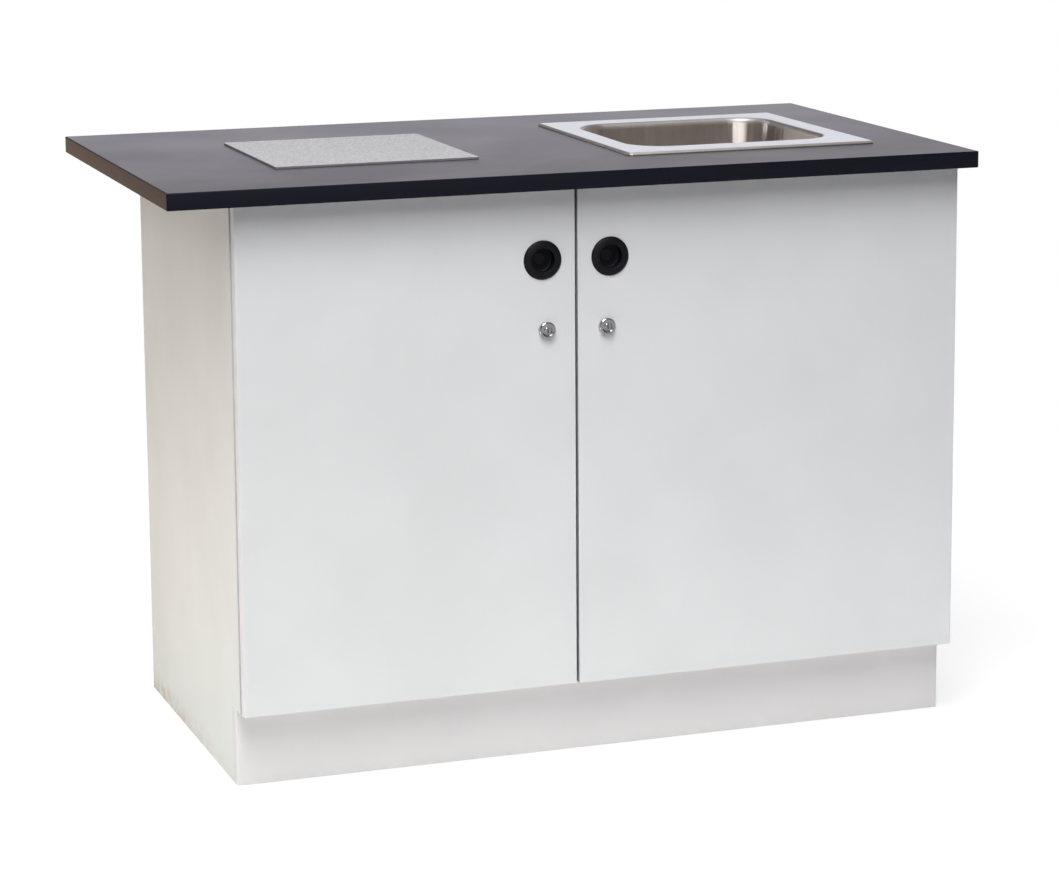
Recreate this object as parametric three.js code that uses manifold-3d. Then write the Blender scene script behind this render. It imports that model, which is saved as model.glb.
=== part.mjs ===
// Laboratory sink unit: a two-door base cupboard under a black laminate worktop,
// with an inset steel sink, its waste fittings, and a heat mat beside it.
// Millimetres, +Z up. +X is to the right of someone who faces the doors, and the
// front is at -Y. The origin is on the floor, under the middle of the worktop.
import * as THREE from 'three';
import { mergeVertices } from 'three/addons/utils/BufferGeometryUtils.js';
import Module from 'manifold-3d';

// Worktop
const TOP_WIDTH = 1200;
const TOP_DEPTH = 680;
const TOP_THICKNESS = 24;
const TOP_HEIGHT = 860; // floor to the working surface
const EDGING = 2; // plastic edging all round the board

// How far the worktop stands out past the cupboard
const OVERHANG_LEFT = 100;
const OVERHANG_RIGHT = 10;
const OVERHANG_FRONT = 45; // past the faces of the doors
const OVERHANG_BACK = 60;

// Heat mat bonded to the worktop
const MAT_SIZE = 300;
const MAT_THICKNESS = 3;
const MAT_FROM_LEFT = 350; // left edge of the worktop to the middle of the mat

// Cupboard boards
const BOARD = 18;
const BACK_BOARD = 6;
const BACK_INSET = 12; // rear edges of the sides to the back panel
const GROOVE = 8; // depth of the grooves that hold the back panel
const BASE_HEIGHT = 112; // floor to the underside of the base panel
const KICK_SETBACK = 48; // faces of the doors to the plinth
const SINK_BAY = 595; // right face of the cupboard to the middle of the door gap
const FRONT_RAIL = 70;
const REAR_RAIL = 80;

// Shelf and its pins
const SHELF_HEIGHT = 470; // floor to the underside of the shelf
const SHELF_SETBACK = 50;
const SHELF_REAR_GAP = 10;
const SHELF_SIDE_GAP = 1;
const PIN_RADIUS = 2.5;
const PIN_IN_BOARD = 10;
const PIN_UNDER_SHELF = 10;
const PIN_INSET = 60; // ends of the shelf to the pins

// Doors
const DOOR_THICKNESS = 18;
const DOOR_STANDOFF = 3; // cupboard front to the back of a closed door
const DOOR_GAP = 4;
const DOOR_REVEAL = 1.5; // side of the cupboard to the edge of the door
const DOOR_TOP_GAP = 4;

// Round flush pulls
const PULL_RADIUS = 28;
const PULL_RISE = 4;
const PULL_EDGE = 1; // upright edge of the ring
const PULL_SHOULDER = 2.8; // height of the shoulder above the edge
const PULL_SHOULDER_IN = 2; // edge of the ring to its shoulder
const PULL_CROWN = 4; // mouth to where the ring is highest
const PULL_LIP = 0.8; // chamfer round the mouth
const PULL_MOUTH = 17.2; // radius of the opening
const PULL_CUP = 20; // outer radius of the part inside the door
const PULL_WALL = 1.6;
const PULL_SINK = 14.5; // depth of the cup in the door
const PULL_FROM_GAP = 50.5;
const PULL_DROP = 100; // top of the door to the middle of the pull

// Cylinder locks
const LOCK_BEZEL = 12.25;
const LOCK_RISE = 6.5;
const LOCK_CHAMFER = 1.3;
const LOCK_BARREL = 9;
const LOCK_PLUG = 6;
const LOCK_TAIL = 4; // radius of the plug's end that carries the cam
const LOCK_PAST_DOOR = 5.5; // barrel's end past the back of the door
const LOCK_NUT_FLATS = 24;
const LOCK_NUT_THICKNESS = 4;
const LOCK_FROM_GAP = 45;
const LOCK_BELOW_PULL = 100;
const KEY_SLOT_WIDTH = 1.6;
const KEY_SLOT_HEIGHT = 7;
const KEY_SLOT_DEPTH = 8;
const CAM_WIDTH = 14;
const CAM_THICKNESS = 2;
const CAM_BEHIND = 1.8; // barrel's end to the cam
const CAM_MEET = 3; // middle of the door gap to the tip of a locked cam
const CAM_SLOT_CLEARANCE = 1; // round the cam, inside the slot in the partition

// Concealed hinges, measured from the side of the cupboard and the back of the door
const CUP_RADIUS = 17.2;
const CUP_WALL = 1;
const CUP_DEPTH = 14.2;
const CUP_EDGE = 4.8; // side of the cupboard to the near side of the cup
const CUP_FLANGE = 1.3;
const CUP_FLANGE_THICKNESS = 1.2;
const HINGE_PIVOT_IN = 9.2; // side of the cupboard to the pivot
const HINGE_PIVOT_DEEP = 10.5; // back of the door to the pivot
const HINGE_PIN = 1.2;
const HINGE_EYE_WALL = 0.8;
const HINGE_ARM = 2.5; // thickness of the arm
const HINGE_ARM_WIDTH = 12;
const HINGE_EYE_WIDTH = 8;
const HINGE_REACH = 21.8; // pivot to where the arm leaves the cup
const HINGE_RISE = 7; // cupboard front to the cross piece of the arm
const HINGE_ARM_LENGTH = 58; // cupboard front to the end of the arm
const HINGE_PLATE = 3;
const HINGE_PLATE_START = 12; // cupboard front to the mounting plate
const HINGE_PLATE_LENGTH = 48;
const HINGE_PLATE_HEIGHT = 44;
const HINGE_FROM_END = 100; // ends of the door to the hinges

// Sink
const SINK_FROM_RIGHT = 295; // right edge of the worktop to the middle of the sink
const SHEET = 1.2;
const BOWL_WIDTH = 310;
const BOWL_DEPTH = 290; // front to back
const BOWL_CORNER = 55;
const RIM_SIDE = 40; // width of the rim at each side of the bowl
const RIM_FRONT = 60;
const RIM_REAR = 50;
const RIM_CORNER = 8;
const RIM_RISE = 4; // working surface to the top of the rim
const RIM_EDGE = 2.5; // radius of the rim's turned-down edge
const BOWL_DROP = 150; // top of the rim to the floor of the bowl
const BOWL_ROLL = 6; // radius from the rim into the bowl
const BOWL_DRAFT = 10; // how far the walls lean in
const BOWL_FILLET = 30; // radius from the walls to the floor
const BOWL_FALL = 4; // fall of the floor to the waste
const LEAST_CORNER = 2;
const CUTOUT_MARGIN = 14; // edge of the rim to the edge of the hole in the worktop
const CUTOUT_CORNER = 20;
const SEAL_WIDTH = 9;
const SEAL_MARGIN = 2; // inside of the rim's lip to the seal
const CLIP_WIDTH = 20;
const CLIP_THICKNESS = 3;
const CLIP_FOOT = 14; // reach of a clip under the worktop
const CLIP_HEAD = 10; // reach of a clip under the rim
const CLIP_SPACING = 180;

// Waste and bottle trap
const WASTE_FLANGE = 36;
const WASTE_FLANGE_THICKNESS = 2.5;
const WASTE_SEAT = 6; // flat floor past the flange
const TAIL_RADIUS = 20;
const TAIL_WALL = 2.5;
const TAIL_LENGTH = 150;
const TAIL_CLEARANCE = 1; // tail in the hole in the bowl
const GRID_DROP = 0.5; // floor of the bowl to the top of the grid
const GRID_THICKNESS = 2;
const GRID_HOLE = 3.5;
const GRID_CIRCLE = 10.5;
const GRID_COUNT = 6;
const WASHER_RADIUS = 33;
const WASHER_THICKNESS = 3;
const WASTE_NUT_FLATS = 60;
const WASTE_NUT_THICKNESS = 10;
const TRAP_DROP = 70; // floor of the bowl to the top of the trap
const TRAP_NUT_FLATS = 56;
const TRAP_NUT_THICKNESS = 16;
const TRAP_NECK = 5; // wall of the neck
const TRAP_NECK_HEIGHT = 12;
const TRAP_RADIUS = 38;
const TRAP_WALL = 3;
const TRAP_HEIGHT = 75;
const TRAP_CUP_DEPTH = 55;
const TRAP_COLLAR = 15; // overlap of the cup's collar on the body
const TRAP_COLLAR_WALL = 3.7;
const OUTLET_DROP = 40; // top of the trap to the outlet
const OUTLET_REACH = 70; // middle of the trap to the outlet's mouth
const OUTLET_SOCKET = 20; // length of the pipe in the outlet
const OUTLET_WALL = 3;
const OUTLET_NUT_FLATS = 48;
const OUTLET_NUT_THICKNESS = 14;
const PIPE_RADIUS = 16;
const PIPE_WALL = 2.5;
const PIPE_PAST_BACK = 40;
const PIPE_HOLE_CLEARANCE = 2;

// Gap between pieces that fit in, round or over each other
const CLEARANCE = 0.3;

// How finely round shapes are drawn
const FACETS = 24;
const FINE_FACETS = 32;
const SMALL_FACETS = 12;
const CORNER_STEPS = 5;
const CURVE_STEPS = 3;

// Places worked out from the sizes above
const HALF_TURN = Math.PI;
const QUARTER_TURN = Math.PI / 2;
const TOP_UNDERSIDE = TOP_HEIGHT - TOP_THICKNESS;
const LEFT = -TOP_WIDTH / 2 + OVERHANG_LEFT;
const RIGHT = TOP_WIDTH / 2 - OVERHANG_RIGHT;
const MIDDLE = RIGHT - SINK_BAY; // middle of the door gap and of the partition
const DOOR_FACE = -TOP_DEPTH / 2 + OVERHANG_FRONT;
const DOOR_BACK = DOOR_FACE + DOOR_THICKNESS;
const FRONT = DOOR_BACK + DOOR_STANDOFF;
const BACK = TOP_DEPTH / 2 - OVERHANG_BACK;
const BACK_BOARD_REAR = BACK - BACK_INSET;
const BACK_BOARD_FACE = BACK_BOARD_REAR - BACK_BOARD;
const PLINTH_FACE = DOOR_FACE + KICK_SETBACK;
const PLINTH_REAR = PLINTH_FACE + BOARD;
const BASE_TOP = BASE_HEIGHT + BOARD;
const INSIDE_LEFT = LEFT + BOARD;
const INSIDE_RIGHT = RIGHT - BOARD;
const PARTITION_LEFT = MIDDLE - BOARD / 2;
const PARTITION_RIGHT = MIDDLE + BOARD / 2;
const DOOR_BOTTOM = BASE_HEIGHT;
const DOOR_TOP = TOP_UNDERSIDE - DOOR_TOP_GAP;
const PULL_HEIGHT = DOOR_TOP - PULL_DROP;
const LOCK_HEIGHT = PULL_HEIGHT - LOCK_BELOW_PULL;
const LOCK_END = -DOOR_THICKNESS - LOCK_PAST_DOOR; // barrel's end, from the door's face
const CAM_FACE = LOCK_END - CAM_BEHIND;
const CAM_REACH = LOCK_FROM_GAP - CAM_MEET;
const SINK_X = TOP_WIDTH / 2 - SINK_FROM_RIGHT;
const RIM_WIDTH = BOWL_WIDTH + 2 * RIM_SIDE;
const RIM_DEPTH = BOWL_DEPTH + RIM_FRONT + RIM_REAR;
const BOWL_SHIFT = (RIM_FRONT - RIM_REAR) / 2; // middle of the rim back to that of the bowl
const RIM_TOP = TOP_HEIGHT + RIM_RISE;
const RIM_FOOT = TOP_HEIGHT + CLEARANCE;
const BOWL_FLOOR = RIM_TOP - BOWL_DROP;
const TAIL_FIT = TAIL_RADIUS + CLEARANCE;
const TRAP_TOP = BOWL_FLOOR - TRAP_DROP;
const TRAP_INSIDE = TRAP_RADIUS - TRAP_WALL;
const OUTLET_HEIGHT = TRAP_TOP - OUTLET_DROP;
const PIPE_FIT = PIPE_RADIUS + CLEARANCE;

// Finishes
const BLACK_LAMINATE = { color: 0x26262b, roughness: 0.45, metalness: 0 };
const BLACK_EDGING = { color: 0x17171c, roughness: 0.5, metalness: 0 };
const SPECKLED_MAT = { color: 0xb9b9bc, roughness: 0.9, metalness: 0 };
const WHITE_MELAMINE = { color: 0xe2e3e8, roughness: 0.5, metalness: 0 };
const CREAM_MELAMINE = { color: 0xdcd7cd, roughness: 0.5, metalness: 0 };
const STAINLESS_STEEL = { color: 0xb8b7b5, roughness: 0.25, metalness: 1 };
const ZINC_PLATE = { color: 0xa9abad, roughness: 0.4, metalness: 1 };
const CHROME = { color: 0xc9cbcd, roughness: 0.15, metalness: 1 };
const BLACK_PLASTIC = { color: 0x16171b, roughness: 0.45, metalness: 0 };
const WHITE_PLASTIC = { color: 0xe6e6e2, roughness: 0.4, metalness: 0 };
const BLACK_RUBBER = { color: 0x1b1b1c, roughness: 0.9, metalness: 0 };

const wasm = await Module();
wasm.setup();

// A closed three.js geometry as a solid that can be cut and joined.
function solid(geometry) {
  geometry.deleteAttribute('normal');
  geometry.deleteAttribute('uv');
  const merged = mergeVertices(geometry);
  const corners = merged.index.array;
  const triVerts = [];
  for (let i = 0; i < corners.length; i += 3) {
    const [a, b, c] = corners.slice(i, i + 3);
    if (a !== b && b !== c && c !== a) triVerts.push(a, b, c);
  }
  return new wasm.Manifold(new wasm.Mesh({
    numProp: 3,
    vertProperties: new Float32Array(merged.getAttribute('position').array),
    triVerts: new Uint32Array(triVerts),
  }));
}

// A cut or joined solid as a three.js geometry again.
function geometryOf(shape) {
  const { vertProperties, triVerts } = shape.getMesh();
  const geometry = new THREE.BufferGeometry();
  geometry.setAttribute('position', new THREE.BufferAttribute(vertProperties, 3));
  geometry.setIndex(new THREE.BufferAttribute(triVerts, 1));
  geometry.computeVertexNormals();
  return geometry;
}

function addPiece(group, name, shape, finish, place = [0, 0, 0]) {
  const material = new THREE.MeshStandardMaterial(finish);
  const mesh = new THREE.Mesh(geometryOf(shape), material);
  mesh.name = name;
  mesh.position.set(...place);
  group.add(mesh);
}

// A rectangular block between two places along each axis, given in either order.
function block([x0, x1], [y0, y1], [z0, z1]) {
  const size = [Math.abs(x1 - x0), Math.abs(y1 - y0), Math.abs(z1 - z0)];
  const geometry = new THREE.BoxGeometry(...size);
  return solid(geometry.translate((x0 + x1) / 2, (y0 + y1) / 2, (z0 + z1) / 2));
}

// A profile of [radius, height] points, listed anticlockwise, turned about one axis.
// Heights run along +Z, along +Y, or outwards from a door along -Y.
function turned(profile, axis, facets = FACETS) {
  const points = profile.map(([radius, height]) => new THREE.Vector2(radius, height));
  const geometry = new THREE.LatheGeometry(points, facets);
  if (axis === 'up') geometry.rotateX(QUARTER_TURN);
  if (axis === 'out') geometry.rotateX(HALF_TURN);
  return solid(geometry);
}

// A round rod between two heights along an axis.
function rod(radius, from, to, axis, facets = FACETS) {
  return turned([[0, from], [radius, from], [radius, to], [0, to]], axis, facets);
}

// A ring with a square section between two heights along an axis.
function ring(inner, outer, from, to, axis) {
  const section = [[inner, from], [outer, from], [outer, to], [inner, to], [inner, from]];
  return turned(section, axis);
}

// A hexagon nut whose lower face is at height 0.
function hexNut(flats, bore, thickness, axis) {
  const hexagon = rod(flats / Math.sqrt(3), 0, thickness, axis, 6);
  return hexagon.subtract(rod(bore, -CLEARANCE, thickness + CLEARANCE, axis));
}

function roundedRectangle(width, depth, radius) {
  const x = width / 2 - radius;
  const y = depth / 2 - radius;
  const shape = new THREE.Shape();
  shape.absarc(x, y, radius, 0, QUARTER_TURN);
  shape.absarc(-x, y, radius, QUARTER_TURN, HALF_TURN);
  shape.absarc(-x, -y, radius, HALF_TURN, HALF_TURN + QUARTER_TURN);
  shape.absarc(x, -y, radius, HALF_TURN + QUARTER_TURN, 2 * HALF_TURN);
  return shape;
}

// A flat shape given a height along +Z, or outwards from a door along -Y.
function extruded(shape, height, axis = 'up') {
  const options = { depth: height, bevelEnabled: false, curveSegments: CURVE_STEPS };
  const geometry = new THREE.ExtrudeGeometry(shape, options);
  if (axis === 'out') geometry.rotateX(QUARTER_TURN);
  return solid(geometry);
}

const unit = new THREE.Group();
unit.name = 'laboratory_sink_unit';

// Worktop: a board with a hole for the sink, edged all round
const worktop = new THREE.Group();
unit.add(worktop);

const topX = [-TOP_WIDTH / 2, TOP_WIDTH / 2];
const topY = [-TOP_DEPTH / 2, TOP_DEPTH / 2];
const topZ = [TOP_UNDERSIDE, TOP_HEIGHT];
const coreX = [topX[0] + EDGING, topX[1] - EDGING];
const coreY = [topY[0] + EDGING, topY[1] - EDGING];
const pastTop = [TOP_UNDERSIDE - CLEARANCE, TOP_HEIGHT + CLEARANCE];
const cutoutWidth = RIM_WIDTH - 2 * CUTOUT_MARGIN;
const cutoutDepth = RIM_DEPTH - 2 * CUTOUT_MARGIN;
const cutoutShape = roundedRectangle(cutoutWidth, cutoutDepth, CUTOUT_CORNER);
const cutout = extruded(cutoutShape, pastTop[1] - pastTop[0]).translate([SINK_X, 0, pastTop[0]]);
addPiece(worktop, 'worktop', block(coreX, coreY, topZ).subtract(cutout), BLACK_LAMINATE);

const edging = block(topX, topY, topZ).subtract(block(coreX, coreY, pastTop));
addPiece(worktop, 'worktop_edging', edging, BLACK_EDGING);

const halfMat = MAT_SIZE / 2;
const matX = -TOP_WIDTH / 2 + MAT_FROM_LEFT;
const mat = block([-halfMat, halfMat], [-halfMat, halfMat], [0, MAT_THICKNESS]);
addPiece(worktop, 'heat_mat', mat, SPECKLED_MAT, [matX, 0, TOP_HEIGHT]);

// Sink: one pressed steel sheet from the waste hole to the turned-down rim
const sink = new THREE.Group();
sink.position.set(SINK_X, 0, 0);
unit.add(sink);

// Points round a rounded rectangle, as many at every size, so that rings join up.
function ringPoints({ halfWidth, halfDepth, radius, shift, z }) {
  const points = [];
  for (let corner = 0; corner < 4; corner += 1) {
    const sideX = corner === 0 || corner === 3 ? 1 : -1;
    const sideY = corner < 2 ? 1 : -1;
    for (let step = 0; step <= CORNER_STEPS; step += 1) {
      const angle = (corner + step / CORNER_STEPS) * QUARTER_TURN;
      const x = sideX * (halfWidth - radius) + radius * Math.cos(angle);
      const y = shift + sideY * (halfDepth - radius) + radius * Math.sin(angle);
      points.push([x, y, z]);
    }
  }
  return points;
}

// A ring round the waste, a ring that is a share of the bowl, and one of the rim.
function wasteRing(radius, z) {
  return { halfWidth: radius, halfDepth: radius, radius, shift: BOWL_SHIFT, z };
}

function bowlRing(out, z) {
  const radius = Math.max(BOWL_CORNER + out, LEAST_CORNER);
  const halfWidth = BOWL_WIDTH / 2 + out;
  const halfDepth = BOWL_DEPTH / 2 + out;
  return { halfWidth, halfDepth, radius, shift: BOWL_SHIFT, z };
}

function rimRing(out, z) {
  const radius = Math.max(RIM_CORNER + out, LEAST_CORNER);
  const halfWidth = RIM_WIDTH / 2 + out;
  const halfDepth = RIM_DEPTH / 2 + out;
  return { halfWidth, halfDepth, radius, shift: 0, z };
}

function quarterSteps(steps) {
  return Array.from({ length: steps + 1 }, (_, step) => (step / steps) * QUARTER_TURN);
}

// One face of the sheet, from the waste hole to the lip, a depth below the upper face.
function sinkFace(depth) {
  const floor = BOWL_FLOOR - depth;
  const wasteHole = wasteRing(TAIL_RADIUS + TAIL_CLEARANCE, floor);
  const wasteSeat = wasteRing(WASTE_FLANGE + WASTE_SEAT, floor);
  const filletMiddle = BOWL_FLOOR + BOWL_FALL + BOWL_FILLET;
  const fillet = quarterSteps(CURVE_STEPS).map((angle) => {
    const reach = BOWL_FILLET + depth;
    const out = reach * Math.sin(angle) - BOWL_FILLET - BOWL_DRAFT;
    return bowlRing(out, filletMiddle - reach * Math.cos(angle));
  });
  const roll = quarterSteps(CURVE_STEPS).reverse().map((angle) => {
    const reach = BOWL_ROLL - depth;
    const out = BOWL_ROLL - reach * Math.sin(angle);
    return bowlRing(out, RIM_TOP - BOWL_ROLL + reach * Math.cos(angle));
  });
  const edge = quarterSteps(CURVE_STEPS).map((angle) => {
    const reach = RIM_EDGE - depth;
    const out = reach * Math.sin(angle) - RIM_EDGE;
    return rimRing(out, RIM_TOP - RIM_EDGE + reach * Math.cos(angle));
  });
  return [wasteHole, wasteSeat, ...fillet, ...roll, ...edge, rimRing(-depth, RIM_FOOT)];
}

// Rings joined one to the next, and the last to the first.
function loft(rings) {
  const count = rings[0].length;
  const index = [];
  for (let i = 0; i < rings.length; i += 1) {
    const here = i * count;
    const there = ((i + 1) % rings.length) * count;
    for (let j = 0; j < count; j += 1) {
      const next = (j + 1) % count;
      index.push(here + j, there + j, there + next);
      index.push(here + j, there + next, here + next);
    }
  }
  const geometry = new THREE.BufferGeometry();
  geometry.setAttribute('position', new THREE.Float32BufferAttribute(rings.flat(2), 3));
  geometry.setIndex(index);
  return solid(geometry);
}

const sheetRings = [...sinkFace(0), ...sinkFace(SHEET).reverse()];
addPiece(sink, 'sink_bowl', loft(sheetRings.map(ringPoints)), STAINLESS_STEEL);

const sealWidth = RIM_WIDTH - 2 * (SHEET + SEAL_MARGIN);
const sealDepth = RIM_DEPTH - 2 * (SHEET + SEAL_MARGIN);
const sealHeight = RIM_RISE - SHEET - CLEARANCE;
const sealShape = roundedRectangle(sealWidth, sealDepth, RIM_CORNER);
const sealHole = [sealWidth - 2 * SEAL_WIDTH, sealDepth - 2 * SEAL_WIDTH, LEAST_CORNER];
sealShape.holes.push(roundedRectangle(...sealHole));
addPiece(sink, 'sink_seal', extruded(sealShape, sealHeight), BLACK_RUBBER, [0, 0, TOP_HEIGHT]);

// Each clip hooks under the rim, runs down inside the hole and grips the worktop's underside.
const clipHeadTop = RIM_TOP - SHEET - CLEARANCE;
const clipFootTop = TOP_UNDERSIDE - CLEARANCE;
const clipBottom = clipFootTop - CLIP_THICKNESS;
const clipOuter = cutoutWidth / 2 - CLEARANCE;
const clipInner = clipOuter - CLIP_THICKNESS;
const clipY = [-CLIP_WIDTH / 2, CLIP_WIDTH / 2];
for (const [sideName, side] of [['left', -1], ['right', 1]]) {
  for (const [endName, end] of [['front', -1], ['rear', 1]]) {
    const leg = block([side * clipInner, side * clipOuter], clipY, [clipBottom, clipHeadTop]);
    const footX = [side * clipInner, side * (clipOuter + CLIP_FOOT)];
    const headX = [side * clipOuter, side * (clipOuter - CLIP_HEAD)];
    const foot = block(footX, clipY, [clipBottom, clipFootTop]);
    const head = block(headX, clipY, [clipHeadTop - CLIP_THICKNESS, clipHeadTop]);
    const clipPlace = [0, end * CLIP_SPACING / 2, 0];
    const clip = leg.add(foot).add(head);
    addPiece(sink, `sink_clip_${sideName}_${endName}`, clip, ZINC_PLATE, clipPlace);
  }
}

// Waste: a flange with a grid and a tail, clamped to the bowl by a nut
const waste = new THREE.Group();
waste.position.set(SINK_X, BOWL_SHIFT, 0);
unit.add(waste);

const tailBore = TAIL_RADIUS - TAIL_WALL;
const gridUnder = -GRID_DROP - GRID_THICKNESS;
let flange = turned([
  [0, gridUnder],
  [tailBore, gridUnder],
  [tailBore, -TAIL_LENGTH],
  [TAIL_RADIUS, -TAIL_LENGTH],
  [TAIL_RADIUS, 0],
  [WASTE_FLANGE, 0],
  [WASTE_FLANGE, WASTE_FLANGE_THICKNESS / 2],
  [WASTE_FLANGE - WASTE_FLANGE_THICKNESS, WASTE_FLANGE_THICKNESS],
  [TAIL_RADIUS, WASTE_FLANGE_THICKNESS],
  [tailBore, -GRID_DROP],
  [0, -GRID_DROP],
], 'up');
const gridHole = rod(GRID_HOLE, gridUnder - CLEARANCE, CLEARANCE, 'up', SMALL_FACETS);
flange = flange.subtract(gridHole);
for (let i = 0; i < GRID_COUNT; i += 1) {
  const angle = (2 * HALF_TURN * i) / GRID_COUNT;
  const place = [GRID_CIRCLE * Math.cos(angle), GRID_CIRCLE * Math.sin(angle), 0];
  flange = flange.subtract(gridHole.translate(place));
}
addPiece(waste, 'waste_flange', flange, CHROME, [0, 0, BOWL_FLOOR]);

const washerTop = BOWL_FLOOR - SHEET - CLEARANCE;
const washer = ring(TAIL_FIT, WASHER_RADIUS, -WASHER_THICKNESS, 0, 'up');
addPiece(waste, 'waste_washer', washer, BLACK_RUBBER, [0, 0, washerTop]);

const wasteNutBottom = washerTop - WASHER_THICKNESS - CLEARANCE - WASTE_NUT_THICKNESS;
const wasteNut = hexNut(WASTE_NUT_FLATS, TAIL_FIT, WASTE_NUT_THICKNESS, 'up');
addPiece(waste, 'waste_nut', wasteNut, WHITE_PLASTIC, [0, 0, wasteNutBottom]);

// Bottle trap: the tail dips into the cup, and the outlet leaves at the back
const trapNut = hexNut(TRAP_NUT_FLATS, TAIL_FIT, TRAP_NUT_THICKNESS, 'up');
addPiece(waste, 'trap_inlet_nut', trapNut, WHITE_PLASTIC, [0, 0, TRAP_TOP + CLEARANCE]);

const neckOuter = TAIL_FIT + TRAP_NECK;
const trapOutside = turned([
  [0, -TRAP_HEIGHT],
  [TRAP_RADIUS, -TRAP_HEIGHT],
  [TRAP_RADIUS, -TRAP_NECK_HEIGHT - TRAP_WALL],
  [neckOuter, -TRAP_NECK_HEIGHT],
  [neckOuter, 0],
  [0, 0],
], 'up');
const trapHollow = turned([
  [0, -TRAP_HEIGHT - CLEARANCE],
  [TRAP_INSIDE, -TRAP_HEIGHT - CLEARANCE],
  [TRAP_INSIDE, -TRAP_NECK_HEIGHT - 2 * TRAP_WALL],
  [TAIL_FIT, -TRAP_NECK_HEIGHT - TRAP_WALL],
  [TAIL_FIT, CLEARANCE],
  [0, CLEARANCE],
], 'up');
const outletInside = OUTLET_REACH - OUTLET_SOCKET;
const outletTube = rod(PIPE_FIT + OUTLET_WALL, 0, OUTLET_REACH, 'back');
const outletBore = rod(PIPE_RADIUS - PIPE_WALL, 0, OUTLET_REACH, 'back');
const outletMouth = rod(PIPE_FIT, outletInside, OUTLET_REACH + CLEARANCE, 'back');
const outletPlace = [0, 0, -OUTLET_DROP];
const trapBody = trapOutside
  .add(outletTube.translate(outletPlace))
  .subtract(trapHollow)
  .subtract(outletBore.translate(outletPlace))
  .subtract(outletMouth.translate(outletPlace));
addPiece(waste, 'trap_body', trapBody, WHITE_PLASTIC, [0, 0, TRAP_TOP]);

const collarInside = TRAP_RADIUS + CLEARANCE;
const collarOutside = collarInside + TRAP_COLLAR_WALL;
const trapCup = turned([
  [0, -TRAP_CUP_DEPTH],
  [TRAP_RADIUS, -TRAP_CUP_DEPTH],
  [TRAP_RADIUS, -TRAP_COLLAR_WALL - TRAP_WALL],
  [collarOutside, -TRAP_WALL],
  [collarOutside, TRAP_COLLAR],
  [collarInside, TRAP_COLLAR],
  [collarInside, -CLEARANCE],
  [TRAP_INSIDE, -CLEARANCE],
  [TRAP_INSIDE, TRAP_WALL - TRAP_CUP_DEPTH],
  [0, TRAP_WALL - TRAP_CUP_DEPTH],
], 'up');
addPiece(waste, 'trap_cup', trapCup, WHITE_PLASTIC, [0, 0, TRAP_TOP - TRAP_HEIGHT]);

const outletNut = hexNut(OUTLET_NUT_FLATS, PIPE_FIT, OUTLET_NUT_THICKNESS, 'back');
const outletNutPlace = [0, OUTLET_REACH + CLEARANCE, OUTLET_HEIGHT];
addPiece(waste, 'trap_outlet_nut', outletNut, WHITE_PLASTIC, outletNutPlace);

const pipeStart = outletInside + CLEARANCE;
const pipeEnd = BACK + PIPE_PAST_BACK - BOWL_SHIFT;
const pipe = ring(PIPE_RADIUS - PIPE_WALL, PIPE_RADIUS, pipeStart, pipeEnd, 'back');
addPiece(waste, 'waste_pipe', pipe, WHITE_PLASTIC, [0, 0, OUTLET_HEIGHT]);

// Cupboard: two grooved sides, a base, a partition, a back panel, rails and a plinth
const cupboard = new THREE.Group();
unit.add(cupboard);

const sideY = [FRONT, BACK];
const sideZ = [0, TOP_UNDERSIDE];
const kickY = [FRONT - CLEARANCE, PLINTH_REAR];
const kickZ = [-CLEARANCE, BASE_HEIGHT];
const grooveY = [BACK_BOARD_FACE - CLEARANCE, BACK_BOARD_REAR + CLEARANCE];
const grooveZ = [BASE_HEIGHT - CLEARANCE, TOP_UNDERSIDE + CLEARANCE];
const pinFit = PIN_RADIUS + CLEARANCE;
const pinHeight = SHELF_HEIGHT - CLEARANCE - PIN_RADIUS;
const shelfY = [FRONT + SHELF_SETBACK, BACK_BOARD_FACE - SHELF_REAR_GAP];
const pinPlaces = [['front', shelfY[0] + PIN_INSET], ['rear', shelfY[1] - PIN_INSET]];

// A shelf pin lies along X, half of it in its board.
function pinRod(radius, from, to) {
  const length = to - from;
  const geometry = new THREE.CylinderGeometry(radius, radius, length, SMALL_FACETS);
  return solid(geometry.rotateZ(QUARTER_TURN).translate((from + to) / 2, 0, 0));
}

function pinHoles(board, face, inwards) {
  let drilled = board;
  for (const [, y] of pinPlaces) {
    const depth = inwards * (PIN_IN_BOARD + CLEARANCE);
    const ends = [face - depth, face + inwards * CLEARANCE].sort((a, b) => a - b);
    drilled = drilled.subtract(pinRod(pinFit, ...ends).translate([0, y, pinHeight]));
  }
  return drilled;
}

for (const [name, outside, inside, finish] of [
  ['left', LEFT, INSIDE_LEFT, CREAM_MELAMINE],
  ['right', RIGHT, INSIDE_RIGHT, WHITE_MELAMINE],
]) {
  const inwards = Math.sign(inside - outside);
  const throughX = [outside - inwards * CLEARANCE, inside + inwards * CLEARANCE];
  const grooveX = [inside - inwards * (GROOVE + CLEARANCE), inside + inwards * CLEARANCE];
  const panel = block([outside, inside], sideY, sideZ)
    .subtract(block(throughX, kickY, kickZ))
    .subtract(block(grooveX, grooveY, grooveZ));
  const drilled = name === 'left' ? pinHoles(panel, inside, inwards) : panel;
  addPiece(cupboard, `side_panel_${name}`, drilled, finish);
}

const insideX = [INSIDE_LEFT, INSIDE_RIGHT];
const insideY = [FRONT, BACK_BOARD_FACE];
const base = block(insideX, insideY, [BASE_HEIGHT, BASE_TOP]);
addPiece(cupboard, 'base_panel', base, WHITE_MELAMINE);

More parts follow.
